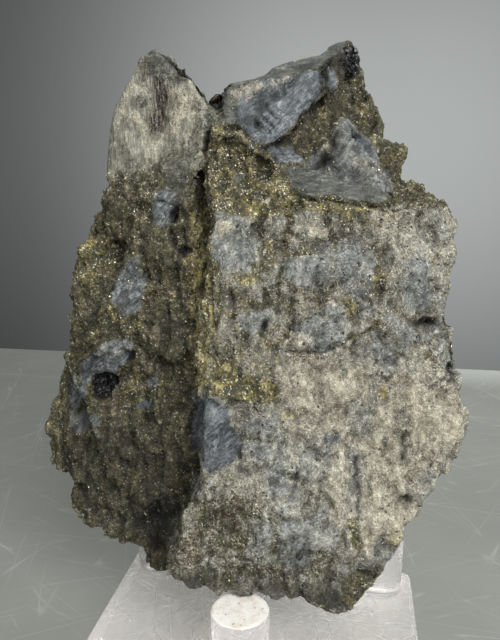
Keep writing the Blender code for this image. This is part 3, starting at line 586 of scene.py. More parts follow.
def wandered(points):
    # the front's x and z with a wobble, so that no outline is smooth
    wander = 0.9 * noiseAt(points, 4.0, 7.0) + 0.45 * noiseAt(points, 1.3, 3.0)
    drift = 0.9 * noiseAt(points, 4.0, 19.0) + 0.45 * noiseAt(points, 1.3, 31.0)
    return points[:, 0] + wander, points[:, 2] + drift


def brokenPatches(points):
    # the patches that the lump breaks into, the same ones for paint and relief
    x, z = wandered(points)
    return patchesAt(np.column_stack((x, points[:, 1], z)), (7.5, 8.0, 8.5), 27.0)


def paintFinishes(points, normals):
    # how much of each finish every point has; what is left over is the dark crust
    x, z = wandered(points)
    front = onFront(points, normals)
    patchy = noiseAt(points, 9.0, 41.0)
    finer = noiseAt(points, 3.2, 53.0)
    amounts = {name: np.zeros(len(points)) for name in finishes}

    edge = np.interp(points[:, 2], [z for z, _ in faceEdge], [x for _, x in faceEdge])
    onFace = smoothstep((x - edge) / 1.2) * smoothstep((113.0 - points[:, 2]) / 3.0)
    onFace *= smoothstep((0.5 - normals[:, 1]) / 0.4)
    amounts["felt"] = onFace * 0.95
    behind = (1 - front) * smoothstep((patchy + 0.1) / 0.25)
    amounts["felt"] = np.maximum(amounts["felt"], 0.75 * behind)
    streaks = noiseAt(points, (2.6, 2.6, 11.0), 61.0)
    gap, tone = brokenPatches(points)
    seam = 1 - smoothstep(gap / 0.2)
    amounts["blue"] = 0.75 * smoothstep((patchy * 0.7 + finer * 0.7 - 0.02) / 0.4) * (1 - onFace) * 0.25
    amounts["blue"] += 0.7 * onFace * smoothstep((tone - 0.45 + finer * 0.5) / 0.4) * (1 - seam)
    amounts["gold"] = (1 - onFace) * 0.5 * smoothstep((finer * 0.6 - patchy * 0.5 + 0.05) / 0.3)
    amounts["gold"] += onFace * 0.35 * seam * smoothstep((points[:, 2] - 60) / 25)
    amounts["black"] = (1 - onFace) * 0.3 * smoothstep((-streaks - 0.12) / 0.3)
    amounts["felt"] *= 1 - 0.25 * seam
    amounts["felt"] *= 1 - 0.6 * amounts["black"]
    upper = onFace * smoothstep((points[:, 2] - 78) / 8) * smoothstep((34 - points[:, 0]) / 8)
    browner = 0.35 * seam + 0.45 * smoothstep((finer + 0.6 * patchy + 0.05) / 0.3)
    cover(amounts, "crust", np.clip(browner * (0.35 * onFace + 0.65 * upper), 0, 1))
    amounts["gold"] += 0.3 * upper * smoothstep((0.1 - patchy + 0.5 * finer) / 0.3)
    for name in finishes:
        amounts[name] = np.clip(amounts[name], 0, 1)

    for kind, strength, edge, _, outline in marks.values():
        xs = [p[0] for p in outline]
        zs = [p[1] for p in outline]
        near = (x > min(xs) - 4) & (x < max(xs) + 4) & (z > min(zs) - 4) & (z < max(zs) + 4)
        inside = insideOutline(x[near], z[near], outline)
        if kind == "blue" and strength > 0.55:  # a dark rim round each strong blue patch
            rim = 0.35 * np.exp(-((inside + 0.9) / 0.8) ** 2) * front[near] * onFace[near]
            rim *= np.clip(0.5 + 2.0 * patchy[near], 0, 1)
            cover(amounts, "crust", rim, near)
            cover(amounts, "gold", 0.6 * rim, near)
        mark = strength * smoothstep(0.5 + inside / edge / 2) * front[near]
        if kind in ("blue", "cream"):
            mark *= np.clip(1.0 + 0.8 * finer[near], 0.45, 1.0)
        cover(amounts, kind, mark, near)
    for kind, radius, (spotX, spotZ) in spots.values():
        cover(amounts, kind, smoothstep(1.5 - np.hypot(x - spotX, (z - spotZ) * 1.4) / radius) * front)
    # painted shade and shadow: every crack and shadow line is darkened
    for width, _, line in cracks.values():
        cover(amounts, "black", 0.7 * np.exp(-(besideLine(x, z, line) / width) ** 2) * front)
    return amounts


def seenShares(amounts):
    # how much of each finish shows from under the later ones
    left = 1.0
    shares = {}
    for name in reversed(finishes):
        shares[name] = amounts[name] * left
        left = left * (1 - amounts[name])
    return shares


def recesses(mesh, points, normals, rounds):
    # how deep in mm each point lies below its surroundings
    edges = np.empty(len(mesh.edges) * 2, np.int32)
    mesh.edges.foreach_get("vertices", edges)
    one, other = edges.reshape(-1, 2).T
    count = np.maximum(np.bincount(edges, minlength=len(points)), 1)
    smooth = points.copy()
    for _ in range(rounds):
        for axis in range(3):
            total = np.bincount(one, smooth[other, axis], len(points))
            total += np.bincount(other, smooth[one, axis], len(points))
            smooth[:, axis] = 0.5 * smooth[:, axis] + 0.5 * total / count
    return ((smooth - points) * normals).sum(axis=1) / mm


def lightOf(points, normals):
    # painted light and shade: how much darker or brighter the zones make each point
    front = onFront(points, normals)
    x, z = wandered(points)
    light = np.zeros(len(points))
    for share, edge, outline in paintedLightZones.values():
        light += share * smoothstep(0.5 + insideOutline(x, z, outline) / edge / 2) * front
    return np.clip(light, -0.6, 0.6)


lump = {
    "voxel": 0.46,  # mm
    "soften": 7,
    "wear": 380,  # rounds of smoothing along the left edge of the broad face
    "wornEdge": (-13.0, 44, 116),  # where that edge is: x, then from which z to which
    "triangles": 193000,
    "swellSize": 11.0,
    "swellHeight": 1.1,
    "patchHeight": 0.9,
    "fluteSize": 2.6,
    "fluteHeight": 0.4,
    "cragSize": 6.0,
    "cragHeight": 0.6,
    "stepSize": 3.4,
    "stepHeight": 0.65,
    "grainSize": 1.15,
    "grainHeight": 0.34,
    "gritSize": 0.62,
    "gritHeight": 0.2,
    "fibreSize": (0.55, 0.9, 7.0),
    "fibreHeight": 0.04,
    "recessShade": (0.24, 0.15),  # painted shade: how much small and wide recesses darken
}


def clearOfPegs(points):
    # the underside stays just above the pegs that carry it
    for name in ("front_peg", "rear_left_peg", "rear_right_peg"):
        low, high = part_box(name)
        centre = (low + high) / 2
        radius = (high.x - low.x) / 2
        over = np.hypot(points[:, 0] - centre.x, points[:, 1] - centre.y) < radius + 0.3 * mm
        under = over & (points[:, 2] < high.z + 0.15 * mm)
        points[under, 2] = high.z + 0.15 * mm
    return points


def keepInBox(points):
    low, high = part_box("lignite_lump")
    return np.clip(points, np.array(low), np.array(high))


def evenSkin():
    # the CAD lump with an even, fine mesh, its edges a little rounded
    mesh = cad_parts["lignite_lump"].data.copy()
    mesh.materials.clear()
    writePoints(mesh, toLump(readPoints(mesh)))
    piece = link("broken_lignite_lump", mesh)
    remesh = piece.modifiers.new("even skin", "REMESH")
    remesh.mode = "VOXEL"
    remesh.voxel_size = lump["voxel"]
    soften = piece.modifiers.new("soften", "SMOOTH")
    soften.factor = 0.5
    soften.iterations = lump["soften"]
    mesh = applied(piece)
    x, y, z = readPoints(mesh).T
    wornX, wornFoot, wornTop = lump["wornEdge"]
    edgeWearAndHighlight = smoothstep((6.0 - np.abs(x - wornX)) / 2.5)
    edgeWearAndHighlight = edgeWearAndHighlight * smoothstep((z - wornFoot) / 6) * smoothstep((wornTop - z) / 6)
    edgeWearAndHighlight *= smoothstep((12 - y) / 4)
    band = piece.vertex_groups.new(name="worn edge")
    for i in np.flatnonzero(edgeWearAndHighlight > 0.02):
        band.add([int(i)], float(edgeWearAndHighlight[i]), "REPLACE")
    ease = piece.modifiers.new("worn edge", "SMOOTH")
    ease.factor = 0.5
    ease.iterations = lump["wear"]
    ease.vertex_group = band.name
    mesh = applied(piece)
    print("lump: even skin of", len(mesh.vertices), "points")
    return piece


def addRelief(mesh):
    # coarse relief first, then grains, grit and fibres on the moved surface
    points = readPoints(mesh)
    normals = readNormals(mesh)
    amounts = seenShares(paintFinishes(points, normals))
    front = onFront(points, normals)
    move = np.zeros(len(points))
    x, z = wandered(points)
    for _, _, edge, rise, outline in marks.values():
        if rise:
            move += rise * smoothstep(0.5 + insideOutline(x, z, outline) / edge / 2) * front
    for width, depth, line in cracks.values():
        move -= depth * np.exp(-(besideLine(x, z, line) / width) ** 2) * front
    calm = amounts["silk"] + 0.85 * amounts["coal"] + amounts["slate"]
    calm = np.clip(calm + 0.8 * amounts["plum"] + 0.3 * amounts["blue"], 0, 1)
    rough = 1 - 0.8 * calm
    upright = np.array((0.6, 0.6, 1.5))
    gap, _ = brokenPatches(points)
    move += lump["patchHeight"] * rough * (smoothstep(gap / 0.45) - 0.5)
    move += lump["swellHeight"] * rough * fractalAt(points, lump["swellSize"], 2, 71.0)
    crusty = np.clip(1 - amounts["felt"] - amounts["cream"] - amounts["blue"] - calm, 0, 1)
    rough *= 1 + 0.5 * crusty
    move += lump["fluteHeight"] * rough * noiseAt(points, lump["fluteSize"] * np.array((1, 1, 3.2)), 83.0)
    move += lump["cragHeight"] * rough * (ridgesAt(points, lump["cragSize"] * upright) - 1.25)
    steps = fractalAt(points, lump["stepSize"] * upright, 3, 11.0)
    move += lump["stepHeight"] * rough * (np.round(steps * 3.0) / 3.0 * 0.6 + steps * 0.4)
    points += normals * move[:, None]
    writePoints(mesh, points)

    normals = readNormals(mesh)
    crusty = np.clip(1 - amounts["felt"] - calm, 0, 1)
    grains = lump["grainHeight"] * (0.25 + 0.75 * crusty) * rough
    grains *= grainsAt(points, lump["grainSize"]) - 0.5
    grit = lump["gritHeight"] * rough * fractalAt(points, lump["gritSize"], 2, 5.0)
    fibres = lump["fibreHeight"] * (amounts["silk"] + amounts["plum"])
    fibres *= fractalAt(points, lump["fibreSize"], 2, 2.0)
    points += normals * (grains + grit + fibres)[:, None]
    writePoints(mesh, clearOfPegs(keepInBox(toRow(points))))


def thinOut(piece):
    mesh = piece.data
    mesh.calc_loop_triangles()
    thin = piece.modifiers.new("thin out", "DECIMATE")
    thin.ratio = lump["triangles"] / len(mesh.loop_triangles)
    mesh = applied(piece)
    mesh.shade_smooth()
    points = clearOfPegs(keepInBox(readPoints(mesh)))
    writePoints(mesh, points)
    return points


def storeFinishes(mesh, points):
    # keeps every finish as an attribute for the material, and returns what is seen of each
    normals = readNormals(mesh)
    layers = paintFinishes(toLump(points), normals)
    amounts = seenShares(layers)
    calm = sum(amounts[name] for name in ("coal", "slate", "silk", "plum", "black"))
    gritty = np.clip(1 - calm, 0.1, 1) * np.clip(0.4 + 0.6 * amounts["gold"] + 0.3 * amounts["cream"], 0, 1)
    small, wide = lump["recessShade"]
    # painted light and shade of the zones
    paintedLightAndShade = lightOf(toLump(points), normals)
    # painted shade: small and wide recesses are darkened by how deep they lie
    paintedLightAndShade -= small * np.clip(recesses(mesh, points, normals, 8) / 0.2, -0.3, 1)
    paintedLightAndShade -= wide * np.clip(recesses(mesh, points, normals, 60) / 0.7, -0.3, 1)
    paintedLightAndShade = np.clip(paintedLightAndShade, -0.85, 0.6)
    for name, values in (*layers.items(), ("gritty", gritty), ("paintedLightAndShade", paintedLightAndShade)):
        attribute = mesh.attributes.new(name, "FLOAT", "POINT")
        attribute.data.foreach_set("value", values.astype(np.float32))
    return amounts


def makeLump():
    piece = evenSkin()
    addRelief(piece.data)
    points = thinOut(piece)
    amounts = storeFinishes(piece.data, points)
    print("lump: finished with", len(piece.data.polygons), "faces")
    return piece, amounts


# Grains: small crystals, needles and crumbs that stand proud of the lump.

def cubeShape():
    corners = [(x, y, z) for x in (-1, 1) for y in (-1, 1) for z in (-1, 1)]
    faces = [(0, 1, 3, 2), (4, 6, 7, 5), (0, 4, 5, 1), (2, 3, 7, 6), (0, 2, 6, 4), (1, 5, 7, 3)]
    return np.array(corners, float) * 0.55, np.array(faces)


def spindleShape():
    corners = [(-1, 0, 0), (1, 0, 0), (0, -1, 0), (0, 1, 0), (0, 0, -1), (0, 0, 1)]
    faces = [(0, 2, 5), (2, 1, 5), (1, 3, 5), (3, 0, 5), (2, 0, 4), (1, 2, 4), (3, 1, 4), (0, 3, 4)]
    return np.array(corners, float), np.array(faces)


def scatter(name, piece, weights, settings, shape):
    # lays small shapes on the lump, most of them where its weights are high
    dice = np.random.default_rng(settings["seed"])
    mesh = piece.data
    mesh.calc_loop_triangles()
    triangles = np.empty(len(mesh.loop_triangles) * 3, np.int32)
    mesh.loop_triangles.foreach_get("vertices", triangles)
    triangles = triangles.reshape(-1, 3)
    points = readPoints(mesh)
    a, b, c = (points[triangles[:, i]] for i in range(3))
    across = np.cross(b - a, c - a)
    area = np.linalg.norm(across, axis=1)
    chance = area * np.clip(weights[triangles].mean(axis=1), 0, None)
    chosen = dice.choice(len(triangles), settings["count"], p=chance / chance.sum())
    s, t = dice.random(settings["count"]), dice.random(settings["count"])
    flip = s + t > 1
    s[flip], t[flip] = 1 - s[flip], 1 - t[flip]
    at = a[chosen] + (b - a)[chosen] * s[:, None] + (c - a)[chosen] * t[:, None]
    up = across[chosen] / area[chosen][:, None]

    side = np.cross(up, dice.normal(size=(settings["count"], 3)))
    side /= np.linalg.norm(side, axis=1)[:, None]
    tilt = dice.normal(size=(settings["count"], 3)) * settings["tilt"]
    lean = up + tilt
    lean /= np.linalg.norm(lean, axis=1)[:, None]
    side -= lean * (side * lean).sum(axis=1)[:, None]
    side /= np.linalg.norm(side, axis=1)[:, None]
    third = np.cross(lean, side)
    low, high = settings["size"]
    size = (low + (high - low) * dice.random(settings["count"]) ** 2.2) * mm / 2
    stretch = np.array(settings["stretch"])

    corners, faces = shape
    jitter = 1 + 0.25 * dice.normal(size=(settings["count"], len(corners), 1))
    local = corners[None] * jitter * stretch * size[:, None, None]
    placed = local[:, :, :1] * side[:, None] + local[:, :, 1:2] * third[:, None]
    placed += local[:, :, 2:] * lean[:, None]
    placed += (at + up * (size * stretch[2] * settings["proud"])[:, None])[:, None]
    boxLow, boxHigh = (np.array(corner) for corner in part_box("lignite_lump"))
    fits = ((placed > boxLow) & (placed < boxHigh)).all(axis=(1, 2))
    placed = placed[fits]
    tone = dice.random(len(placed))
    made = bpy.data.meshes.new(name)
    index = faces[None] + (np.arange(len(placed)) * len(corners))[:, None, None]
    made.from_pydata(placed.reshape(-1, 3), [], index.reshape(-1, faces.shape[1]).tolist())
    attribute = made.attributes.new("tone", "FLOAT", "POINT")
    attribute.data.foreach_set("value", np.repeat(tone, len(corners)).astype(np.float32))
    print("grains:", name, len(placed))
    return link(name, made)


pyriteGrains = {
    "seed": 11,
    "count": 13500,
    "size": (0.18, 0.62),  # mm
    "tilt": 0.5,
    "proud": 0.25,
    "stretch": (1.0, 0.8, 0.7),
    "colours": [(0.1, (0.05, 0.042, 0.020)), (0.6, (0.23, 0.20, 0.115)), (0.97, (0.86, 0.81, 0.64))],
    "metallic": 0.4,
    "roughness": 0.4,
}

feltNeedles = {
    "seed": 23,
    "count": 24000,
    "size": (0.35, 1.0),
    "tilt": 0.12,
    "proud": 0.35,
    "stretch": (1.0, 0.17, 0.14),
    "colours": [(0.1, (0.12, 0.115, 0.095)), (0.5, (0.36, 0.335, 0.265)), (0.95, (0.66, 0.62, 0.50))],
    "metallic": 0.0,
    "roughness": 0.7,
}

coalCrumbs = {
    "seed": 37,
    "count": 9000,
    "size": (0.3, 1.0),
    "tilt": 0.5,
    "proud": 0.2,
    "stretch": (1.0, 0.7, 0.6),
    "colours": [(0.1, (0.006, 0.006, 0.006)), (0.6, (0.04, 0.04, 0.04)), (0.95, (0.14, 0.135, 0.12))],
    "metallic": 0.0,
    "roughness": 0.3,
}

coalShards = {
    "seed": 41,
    "count": 260,
    "size": (0.5, 1.7),
    "tilt": 0.8,
    "proud": 0.0,
    "stretch": (1.0, 0.8, 0.6),
    # the brightest tones are painted glints on the black facets
    "colours": [
        (0.1, (0.002, 0.002, 0.002)), (0.75, (0.010, 0.010, 0.011)), (0.88, (0.10, 0.10, 0.105)),
        (0.98, (0.38, 0.38, 0.38))],
    "metallic": 0.0,
    "roughness": 0.2,
}


def layGrains(surface, amounts):
    points = toLump(readPoints(surface.data))
    across, _, height = points.T
    covered = sum(amounts[name] for name in ("felt", "coal", "slate", "silk", "black", "plum", "cream"))
    crust = np.clip(1 - covered, 0, 1)

    # pyrite glints in clusters, more of them high up, fewer on the knob's side of the top
    lively = 0.3 + 0.7 * smoothstep((height - 70) / 30)
    lively *= 0.1 + 0.9 * smoothstep((noiseAt(points, 3.0, 91.0) + 0.02) / 0.25)
    lively *= 0.25 + 0.75 * smoothstep((noiseAt(points, 11.0, 97.0) + 0.15) / 0.3)
    lively *= 1 - 0.7 * smoothstep((across - 8) / 4) * smoothstep((height - 118) / 4)
    pyrite = (0.04 + 0.25 * crust + 1.8 * amounts["gold"]) * lively
    needles = amounts["felt"] * (1 - 0.5 * amounts["coal"]) + 0.8 * amounts["cream"]
    needles = needles + 0.1 * amounts["gold"]
    belowTop = 1 - 0.95 * smoothstep((height - 116) / 4)
    crumbs = (0.02 + 0.5 * amounts["black"] + 0.5 * crust + 0.2 * amounts["gold"]) * belowTop
    blackPlaces = ("coaly hollow", "block's black end")
    inBlack = sum(insideOutline(across, height, marks[name][4]) > 0 for name in blackPlaces)
    layers = (
        ("pyrite_grains", "pyrite", pyrite, pyriteGrains, cubeShape()),
        ("felt_needles", "pale needles", needles, feltNeedles, spindleShape()),
        ("coal_crumbs", "coal crumbs", crumbs, coalCrumbs, spindleShape()),
        ("coal_shards", "coal with painted glints", inBlack * amounts["black"], coalShards, cubeShape()),
    )
    for name, finish, weights, settings, shape in layers:
        piece = scatter(name, surface, weights, settings, shape)
        piece.data.materials.append(makeGrainMaterial(finish, settings))
        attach(piece, "root")


# Shader helpers

def node(tree, kind, inputs=(), **settings):
    made = tree.nodes.new(kind)
    for name, value in settings.items():
        setattr(made, name, value)
    for name, value in dict(inputs).items():
        if isinstance(value, bpy.types.NodeSocket):
            tree.links.new(value, made.inputs[name])
        else:
            made.inputs[name].default_value = value
    return made


def calc(tree, operation, a, b=0.0, clamp=False):
    return node(tree, "ShaderNodeMath", {0: a, 1: b}, operation=operation, use_clamp=clamp).outputs[0]


def plus(tree, a, b):
    return calc(tree, "ADD", a, b)


def minus(tree, a, b):
    return calc(tree, "SUBTRACT", a, b)


def times(tree, a, b):
    return calc(tree, "MULTIPLY", a, b)


def mixed(tree, amount, a, b):
    # A linked colour is a socket, a fixed one a tuple of three.
    made = tree.nodes.new("ShaderNodeMix")
    made.data_type = "RGBA"
    for name, value in (("Factor_Float", amount), ("A_Color", a), ("B_Color", b)):
        socket = next(s for s in made.inputs if s.identifier == name)
        if isinstance(value, bpy.types.NodeSocket):
            tree.links.new(value, socket)
        elif isinstance(value, tuple):
            socket.default_value = (*value, 1.0)
        else:
            socket.default_value = value
    return next(s for s in made.outputs if s.identifier == "Result_Color")


def mixedValue(tree, amount, a, b):
    return node(tree, "ShaderNodeMix", {0: amount, 2: a, 3: b}, data_type="FLOAT").outputs[0]


def ramp(tree, value, stops):
    made = node(tree, "ShaderNodeValToRGB", {"Fac": value})
    elements = made.color_ramp.elements
    while len(elements) < len(stops):
        elements.new(0.5)
    for element, (position, colour) in zip(elements, stops):
        element.position = position
        element.color = (*colour, 1.0)
    return made.outputs["Color"]


def between(tree, value, low, high):
    inputs = {"Value": value, "From Min": low, "From Max": high}
    return node(tree, "ShaderNodeMapRange", inputs, interpolation_type="SMOOTHSTEP").outputs["Result"]


def newGroup(name, inputs, outputs):
    tree = bpy.data.node_groups.new(name, "ShaderNodeTree")
    for socket, (kind, value) in inputs.items():
        made = tree.interface.new_socket(name=socket, in_out="INPUT", socket_type=kind)
        if value is not None:
            made.default_value = value
    for socket in outputs:
        tree.interface.new_socket(name=socket, in_out="OUTPUT", socket_type="NodeSocketFloat")
    return tree, node(tree, "NodeGroupInput"), node(tree, "NodeGroupOutput")


def useGroup(tree, group, **inputs):
    made = node(tree, "ShaderNodeGroup", node_tree=group)
    for name, value in inputs.items():
        if isinstance(value, bpy.types.NodeSocket):
            tree.links.new(value, made.inputs[name])
        else:
            made.inputs[name].default_value = value
    return made


def scaled(tree, vector, factor):
    return node(tree, "ShaderNodeVectorMath", {0: vector, 3: factor}, operation="SCALE").outputs[0]


def stretched(tree, vector, factors):
    return node(tree, "ShaderNodeVectorMath", {0: vector, 1: factors}, operation="MULTIPLY").outputs[0]


def attributeOf(tree, name):
    return node(tree, "ShaderNodeAttribute", attribute_name=name).outputs["Fac"]


def sized(tree, vector, size):
    # vector in mm, divided by a size in mm
    return scaled(tree, vector, calc(tree, "DIVIDE", 1.0, size))


def makeGranules():
    # packed grains: their rounded height and a random tone for each
    floats = {"Vector": ("NodeSocketVector", None), "Size": ("NodeSocketFloat", 0.5)}
    tree, given, result = newGroup("packed granules", floats, ("Height", "Tone"))
    spot = sized(tree, given.outputs["Vector"], given.outputs["Size"])
    cells = node(tree, "ShaderNodeTexVoronoi", {"Vector": spot, "Scale": 1.0})
    tree.links.new(minus(tree, 1.0, cells.outputs["Distance"]), result.inputs["Height"])
    tone = node(tree, "ShaderNodeSeparateColor", {"Color": cells.outputs["Color"]})
    tree.links.new(tone.outputs["Red"], result.inputs["Tone"])
    return tree


def makeHatch():
    # matted short fibres that lie in three directions
    floats = {"Vector": ("NodeSocketVector", None), "Size": ("NodeSocketFloat", 0.4)}
    tree, given, result = newGroup("matted fibres", floats, ("Fibres",))
    spot = sized(tree, given.outputs["Vector"], given.outputs["Size"])
    layers = []
    for turn in ((0.3, 0.5, 0.2), (-0.3, 1.6, 0.1), (0.2, 2.7, -0.2)):
        inputs = {"Vector": spot, "Rotation": turn, "Scale": (1.0, 1.0, 4.5)}
        laid = node(tree, "ShaderNodeMapping", inputs, vector_type="TEXTURE")
        inputs = {"Vector": laid.outputs[0], "Scale": 1.0, "Detail": 2.0, "Roughness": 0.6}
        layers.append(node(tree, "ShaderNodeTexNoise", inputs).outputs["Fac"])
    most = calc(tree, "MAXIMUM", calc(tree, "MAXIMUM", layers[0], layers[1]), layers[2])
    tree.links.new(between(tree, most, 0.48, 0.74), result.inputs["Fibres"])
    return tree


def makeWoodGrain():
    # long upright streaks of wood, finer ones on coarser ones
    floats = {
        "Vector": ("NodeSocketVector", None),
        "Size": ("NodeSocketFloat", 0.5),
        "Length": ("NodeSocketFloat", 14.0),
    }
    tree, given, result = newGroup("wood grain", floats, ("Grain",))
    spot = sized(tree, given.outputs["Vector"], given.outputs["Size"])
    parts = node(tree, "ShaderNodeSeparateXYZ", {0: spot})
    along = calc(tree, "DIVIDE", parts.outputs["Z"], given.outputs["Length"])
    longer = {"X": parts.outputs["X"], "Y": parts.outputs["Y"], "Z": along}
    long = node(tree, "ShaderNodeCombineXYZ", longer)
    inputs = {"Vector": long.outputs[0], "Scale": 1.0, "Detail": 4.0, "Roughness": 0.65, "Distortion": 0.4}
    grain = node(tree, "ShaderNodeTexNoise", inputs)
    tree.links.new(between(tree, grain.outputs["Fac"], 0.3, 0.72), result.inputs["Grain"])
    return tree


def makeScratches():
    # long thin scratches in five directions
    floats = {"Vector": ("NodeSocketVector", None), "Size": ("NodeSocketFloat", 1.0)}
    tree, given, result = newGroup("scratches", floats, ("Scratch",))
    spot = sized(tree, given.outputs["Vector"], given.outputs["Size"])
    lines = None
    for turn, size in ((0.35, 3.1), (1.0, 2.3), (1.5, 3.7), (2.1, 2.7), (2.7, 3.3)):
        inputs = {"Vector": spot, "Rotation": (0, 0, turn), "Scale": (size, size * 14, size)}
        laid = node(tree, "ShaderNodeMapping", inputs, vector_type="TEXTURE")
        inputs = {"Vector": laid.outputs[0], "Scale": 1.0, "Detail": 0.0, "Distortion": 0.2}
        value = node(tree, "ShaderNodeTexNoise", inputs).outputs["Fac"]
        away = calc(tree, "ABSOLUTE", minus(tree, value, 0.5))
        inputs = {"Vector": laid.outputs[0], "Scale": 0.7, "Detail": 1.0}
        seldom = between(tree, node(tree, "ShaderNodeTexNoise", inputs).outputs["Fac"], 0.5, 0.66)
        line = times(tree, between(tree, away, 0.02, 0.0), seldom)
        lines = line if lines is None else calc(tree, "MAXIMUM", lines, line)
    tree.links.new(lines, result.inputs["Scratch"])
    return tree


def makeRagged():
    # a soft amount turned into a ragged, granular edge
    floats = {
        "Amount": ("NodeSocketFloat", 0.5),
        "Grain": ("NodeSocketFloat", 0.5),
        "Spread": ("NodeSocketFloat", 0.6),
        "Softness": ("NodeSocketFloat", 0.2),
    }
    tree, given, result = newGroup("ragged edge", floats, ("Amount",))
    amount = given.outputs["Amount"]
    shift = times(tree, minus(tree, given.outputs["Grain"], 0.5), given.outputs["Spread"])
    moved = plus(tree, amount, shift)
    low = minus(tree, 0.5, given.outputs["Softness"])
    high = plus(tree, 0.5, given.outputs["Softness"])
    kept = times(tree, between(tree, moved, low, high), between(tree, amount, 0.0, 0.1))
    tree.links.new(kept, result.inputs["Amount"])
    return tree


granules = makeGranules()
hatch = makeHatch()
woodGrain = makeWoodGrain()
scratched = makeScratches()
ragged = makeRagged()


def blendOf(tree, parts):
    # sum of values, each with its share
    total = None
    for value, share in parts:
        term = times(tree, value, share)
        total = term if total is None else plus(tree, total, term)
    return total


def newMaterial(name):
    material = bpy.data.materials.new(name)
    material.use_nodes = True
    tree = material.node_tree
    return material, tree, tree.nodes["Principled BSDF"]


def inMillimetres(tree):
    place = node(tree, "ShaderNodeTexCoord").outputs["Object"]
    return scaled(tree, place, 1000.0)


def noiseNode(tree, vector, size, detail=3.0, rough=0.6):
    # noise stretched to the whole range from 0 to 1
    inputs = {"Vector": vector, "Scale": 1.0 / size, "Detail": detail, "Roughness": rough}
    value = node(tree, "ShaderNodeTexNoise", inputs).outputs["Fac"]
    spread = {"Value": value, "From Min": 0.3, "From Max": 0.7}
    return node(tree, "ShaderNodeMapRange", spread).outputs["Result"]


def addBump(tree, shader, height, strength, distance):
    bump = node(tree, "ShaderNodeBump", {"Height": height, "Strength": strength, "Distance": distance})
    tree.links.new(bump.outputs[0], shader.inputs["Normal"])


# Colours of the lump's finishes, dark to light.
lumpColours = {
    "crust": [
        (0.1, (0.004, 0.004, 0.002)), (0.4, (0.030, 0.029, 0.013)),
        (0.66, (0.102, 0.097, 0.050)), (0.92, (0.40, 0.38, 0.24))],
    "brown crust": [
        (0.1, (0.006, 0.005, 0.003)), (0.4, (0.038, 0.032, 0.019)),
        (0.66, (0.112, 0.094, 0.060)), (0.92, (0.36, 0.32, 0.23))],
    "felt": [
        (0.08, (0.033, 0.033, 0.033)), (0.36, (0.136, 0.130, 0.109)),
        (0.6, (0.320, 0.301, 0.242)), (0.88, (0.640, 0.611, 0.504))],
    "gold": [
        (0.1, (0.008, 0.007, 0.004)), (0.4, (0.052, 0.049, 0.028)),
        (0.66, (0.15, 0.142, 0.090)), (0.92, (0.54, 0.52, 0.40))],
    "yellow gold": [
        (0.1, (0.009, 0.007, 0.002)), (0.4, (0.062, 0.051, 0.017)),
        (0.66, (0.19, 0.16, 0.060)), (0.92, (0.60, 0.53, 0.28))],
    "blue": [
        (0.08, (0.018, 0.019, 0.021)), (0.36, (0.095, 0.100, 0.099)),
        (0.6, (0.224, 0.231, 0.213)), (0.88, (0.546, 0.537, 0.475))],
    "coal": [
        (0.15, (0.009, 0.010, 0.012)), (0.42, (0.059, 0.066, 0.071)),
        (0.62, (0.145, 0.158, 0.168)), (0.85, (0.36, 0.37, 0.36))],
    "slate": [
        (0.2, (0.016, 0.016, 0.014)), (0.42, (0.051, 0.053, 0.046)),
        (0.6, (0.092, 0.094, 0.083)), (0.85, (0.25, 0.25, 0.215))],
    "silk": [
        (0.12, (0.040, 0.038, 0.030)), (0.4, (0.145, 0.139, 0.109)),
        (0.62, (0.30, 0.288, 0.225)), (0.85, (0.56, 0.54, 0.44))],
    "black": [
        (0.2, (0.001, 0.001, 0.001)), (0.7, (0.007, 0.007, 0.007)),
        (0.97, (0.08, 0.08, 0.08))],
    "cream": [
        (0.05, (0.15, 0.130, 0.088)), (0.5, (0.40, 0.363, 0.275)),
        (0.95, (0.74, 0.70, 0.58))],
    "ochre": [
        (0.05, (0.07, 0.058, 0.020)), (0.5, (0.33, 0.285, 0.125)),
        (0.9, (0.68, 0.63, 0.38))],
    "plum": [
        (0.25, (0.013, 0.010, 0.008)), (0.5, (0.091, 0.078, 0.062)),
        (0.75, (0.390, 0.351, 0.280))],
}
# What the tone of each finish is mixed from, with the share of each.
lumpTones = {
    "crust": {"smallTone": 0.22, "packedTone": 0.10, "fine": 0.20, "middle": 0.26, "flutes": 0.22},
    "felt": {
        "matted": 0.32, "smallTone": 0.1, "fine": 0.1, "middle": 0.24, "flutes": 0.12, "large": 0.12},
    "gold": {"smallTone": 0.2, "packedTone": 0.22, "middle": 0.26, "coarse": 0.32},
    "blue": {"middle": 0.34, "matted": 0.18, "large": 0.26, "slanted": 0.22},
    "coal": {"middle": 0.26, "slanted": 0.34, "fine": 0.16, "large": 0.24},
    "slate": {"flat": 0.4, "fine": 0.2, "middle": 0.15, "large": 0.1, "smallTone": 0.15},
    "silk": {"grain": 0.3, "matted": 0.15, "fine": 0.1, "large": 0.25, "middle": 0.2},
    "black": {"fineMiddle": 1.0},
    "ochre": {"smallTone": 0.22, "packedTone": 0.10, "fine": 0.20, "middle": 0.26, "flutes": 0.22},
    "plum": {"grain": 0.6, "fine": 0.4},
}
lumpTones["cream"] = lumpTones["felt"]

# The same for the height of the finest relief. A finish that isn't named keeps what lies under it.
lumpHeights = {
    "crust": {"packedHeight": 0.6, "smallHeight": 0.35, "fine": 0.5},
    "felt": {"matted": 0.45, "fine": 0.45},
    "blue": {"matted": 0.25, "fine": 0.4},
    "coal": {"middle": 0.36, "slanted": 0.32, "fine": 0.12},
    "slate": {"flat": 0.35, "middle": 0.15, "fine": 0.15},
    "silk": {"grain": 0.25, "fine": 0.25},
    "plum": {"grain": 0.8, "fine": 0.2},
    "cream": {"matted": 0.45, "fine": 0.45},
}

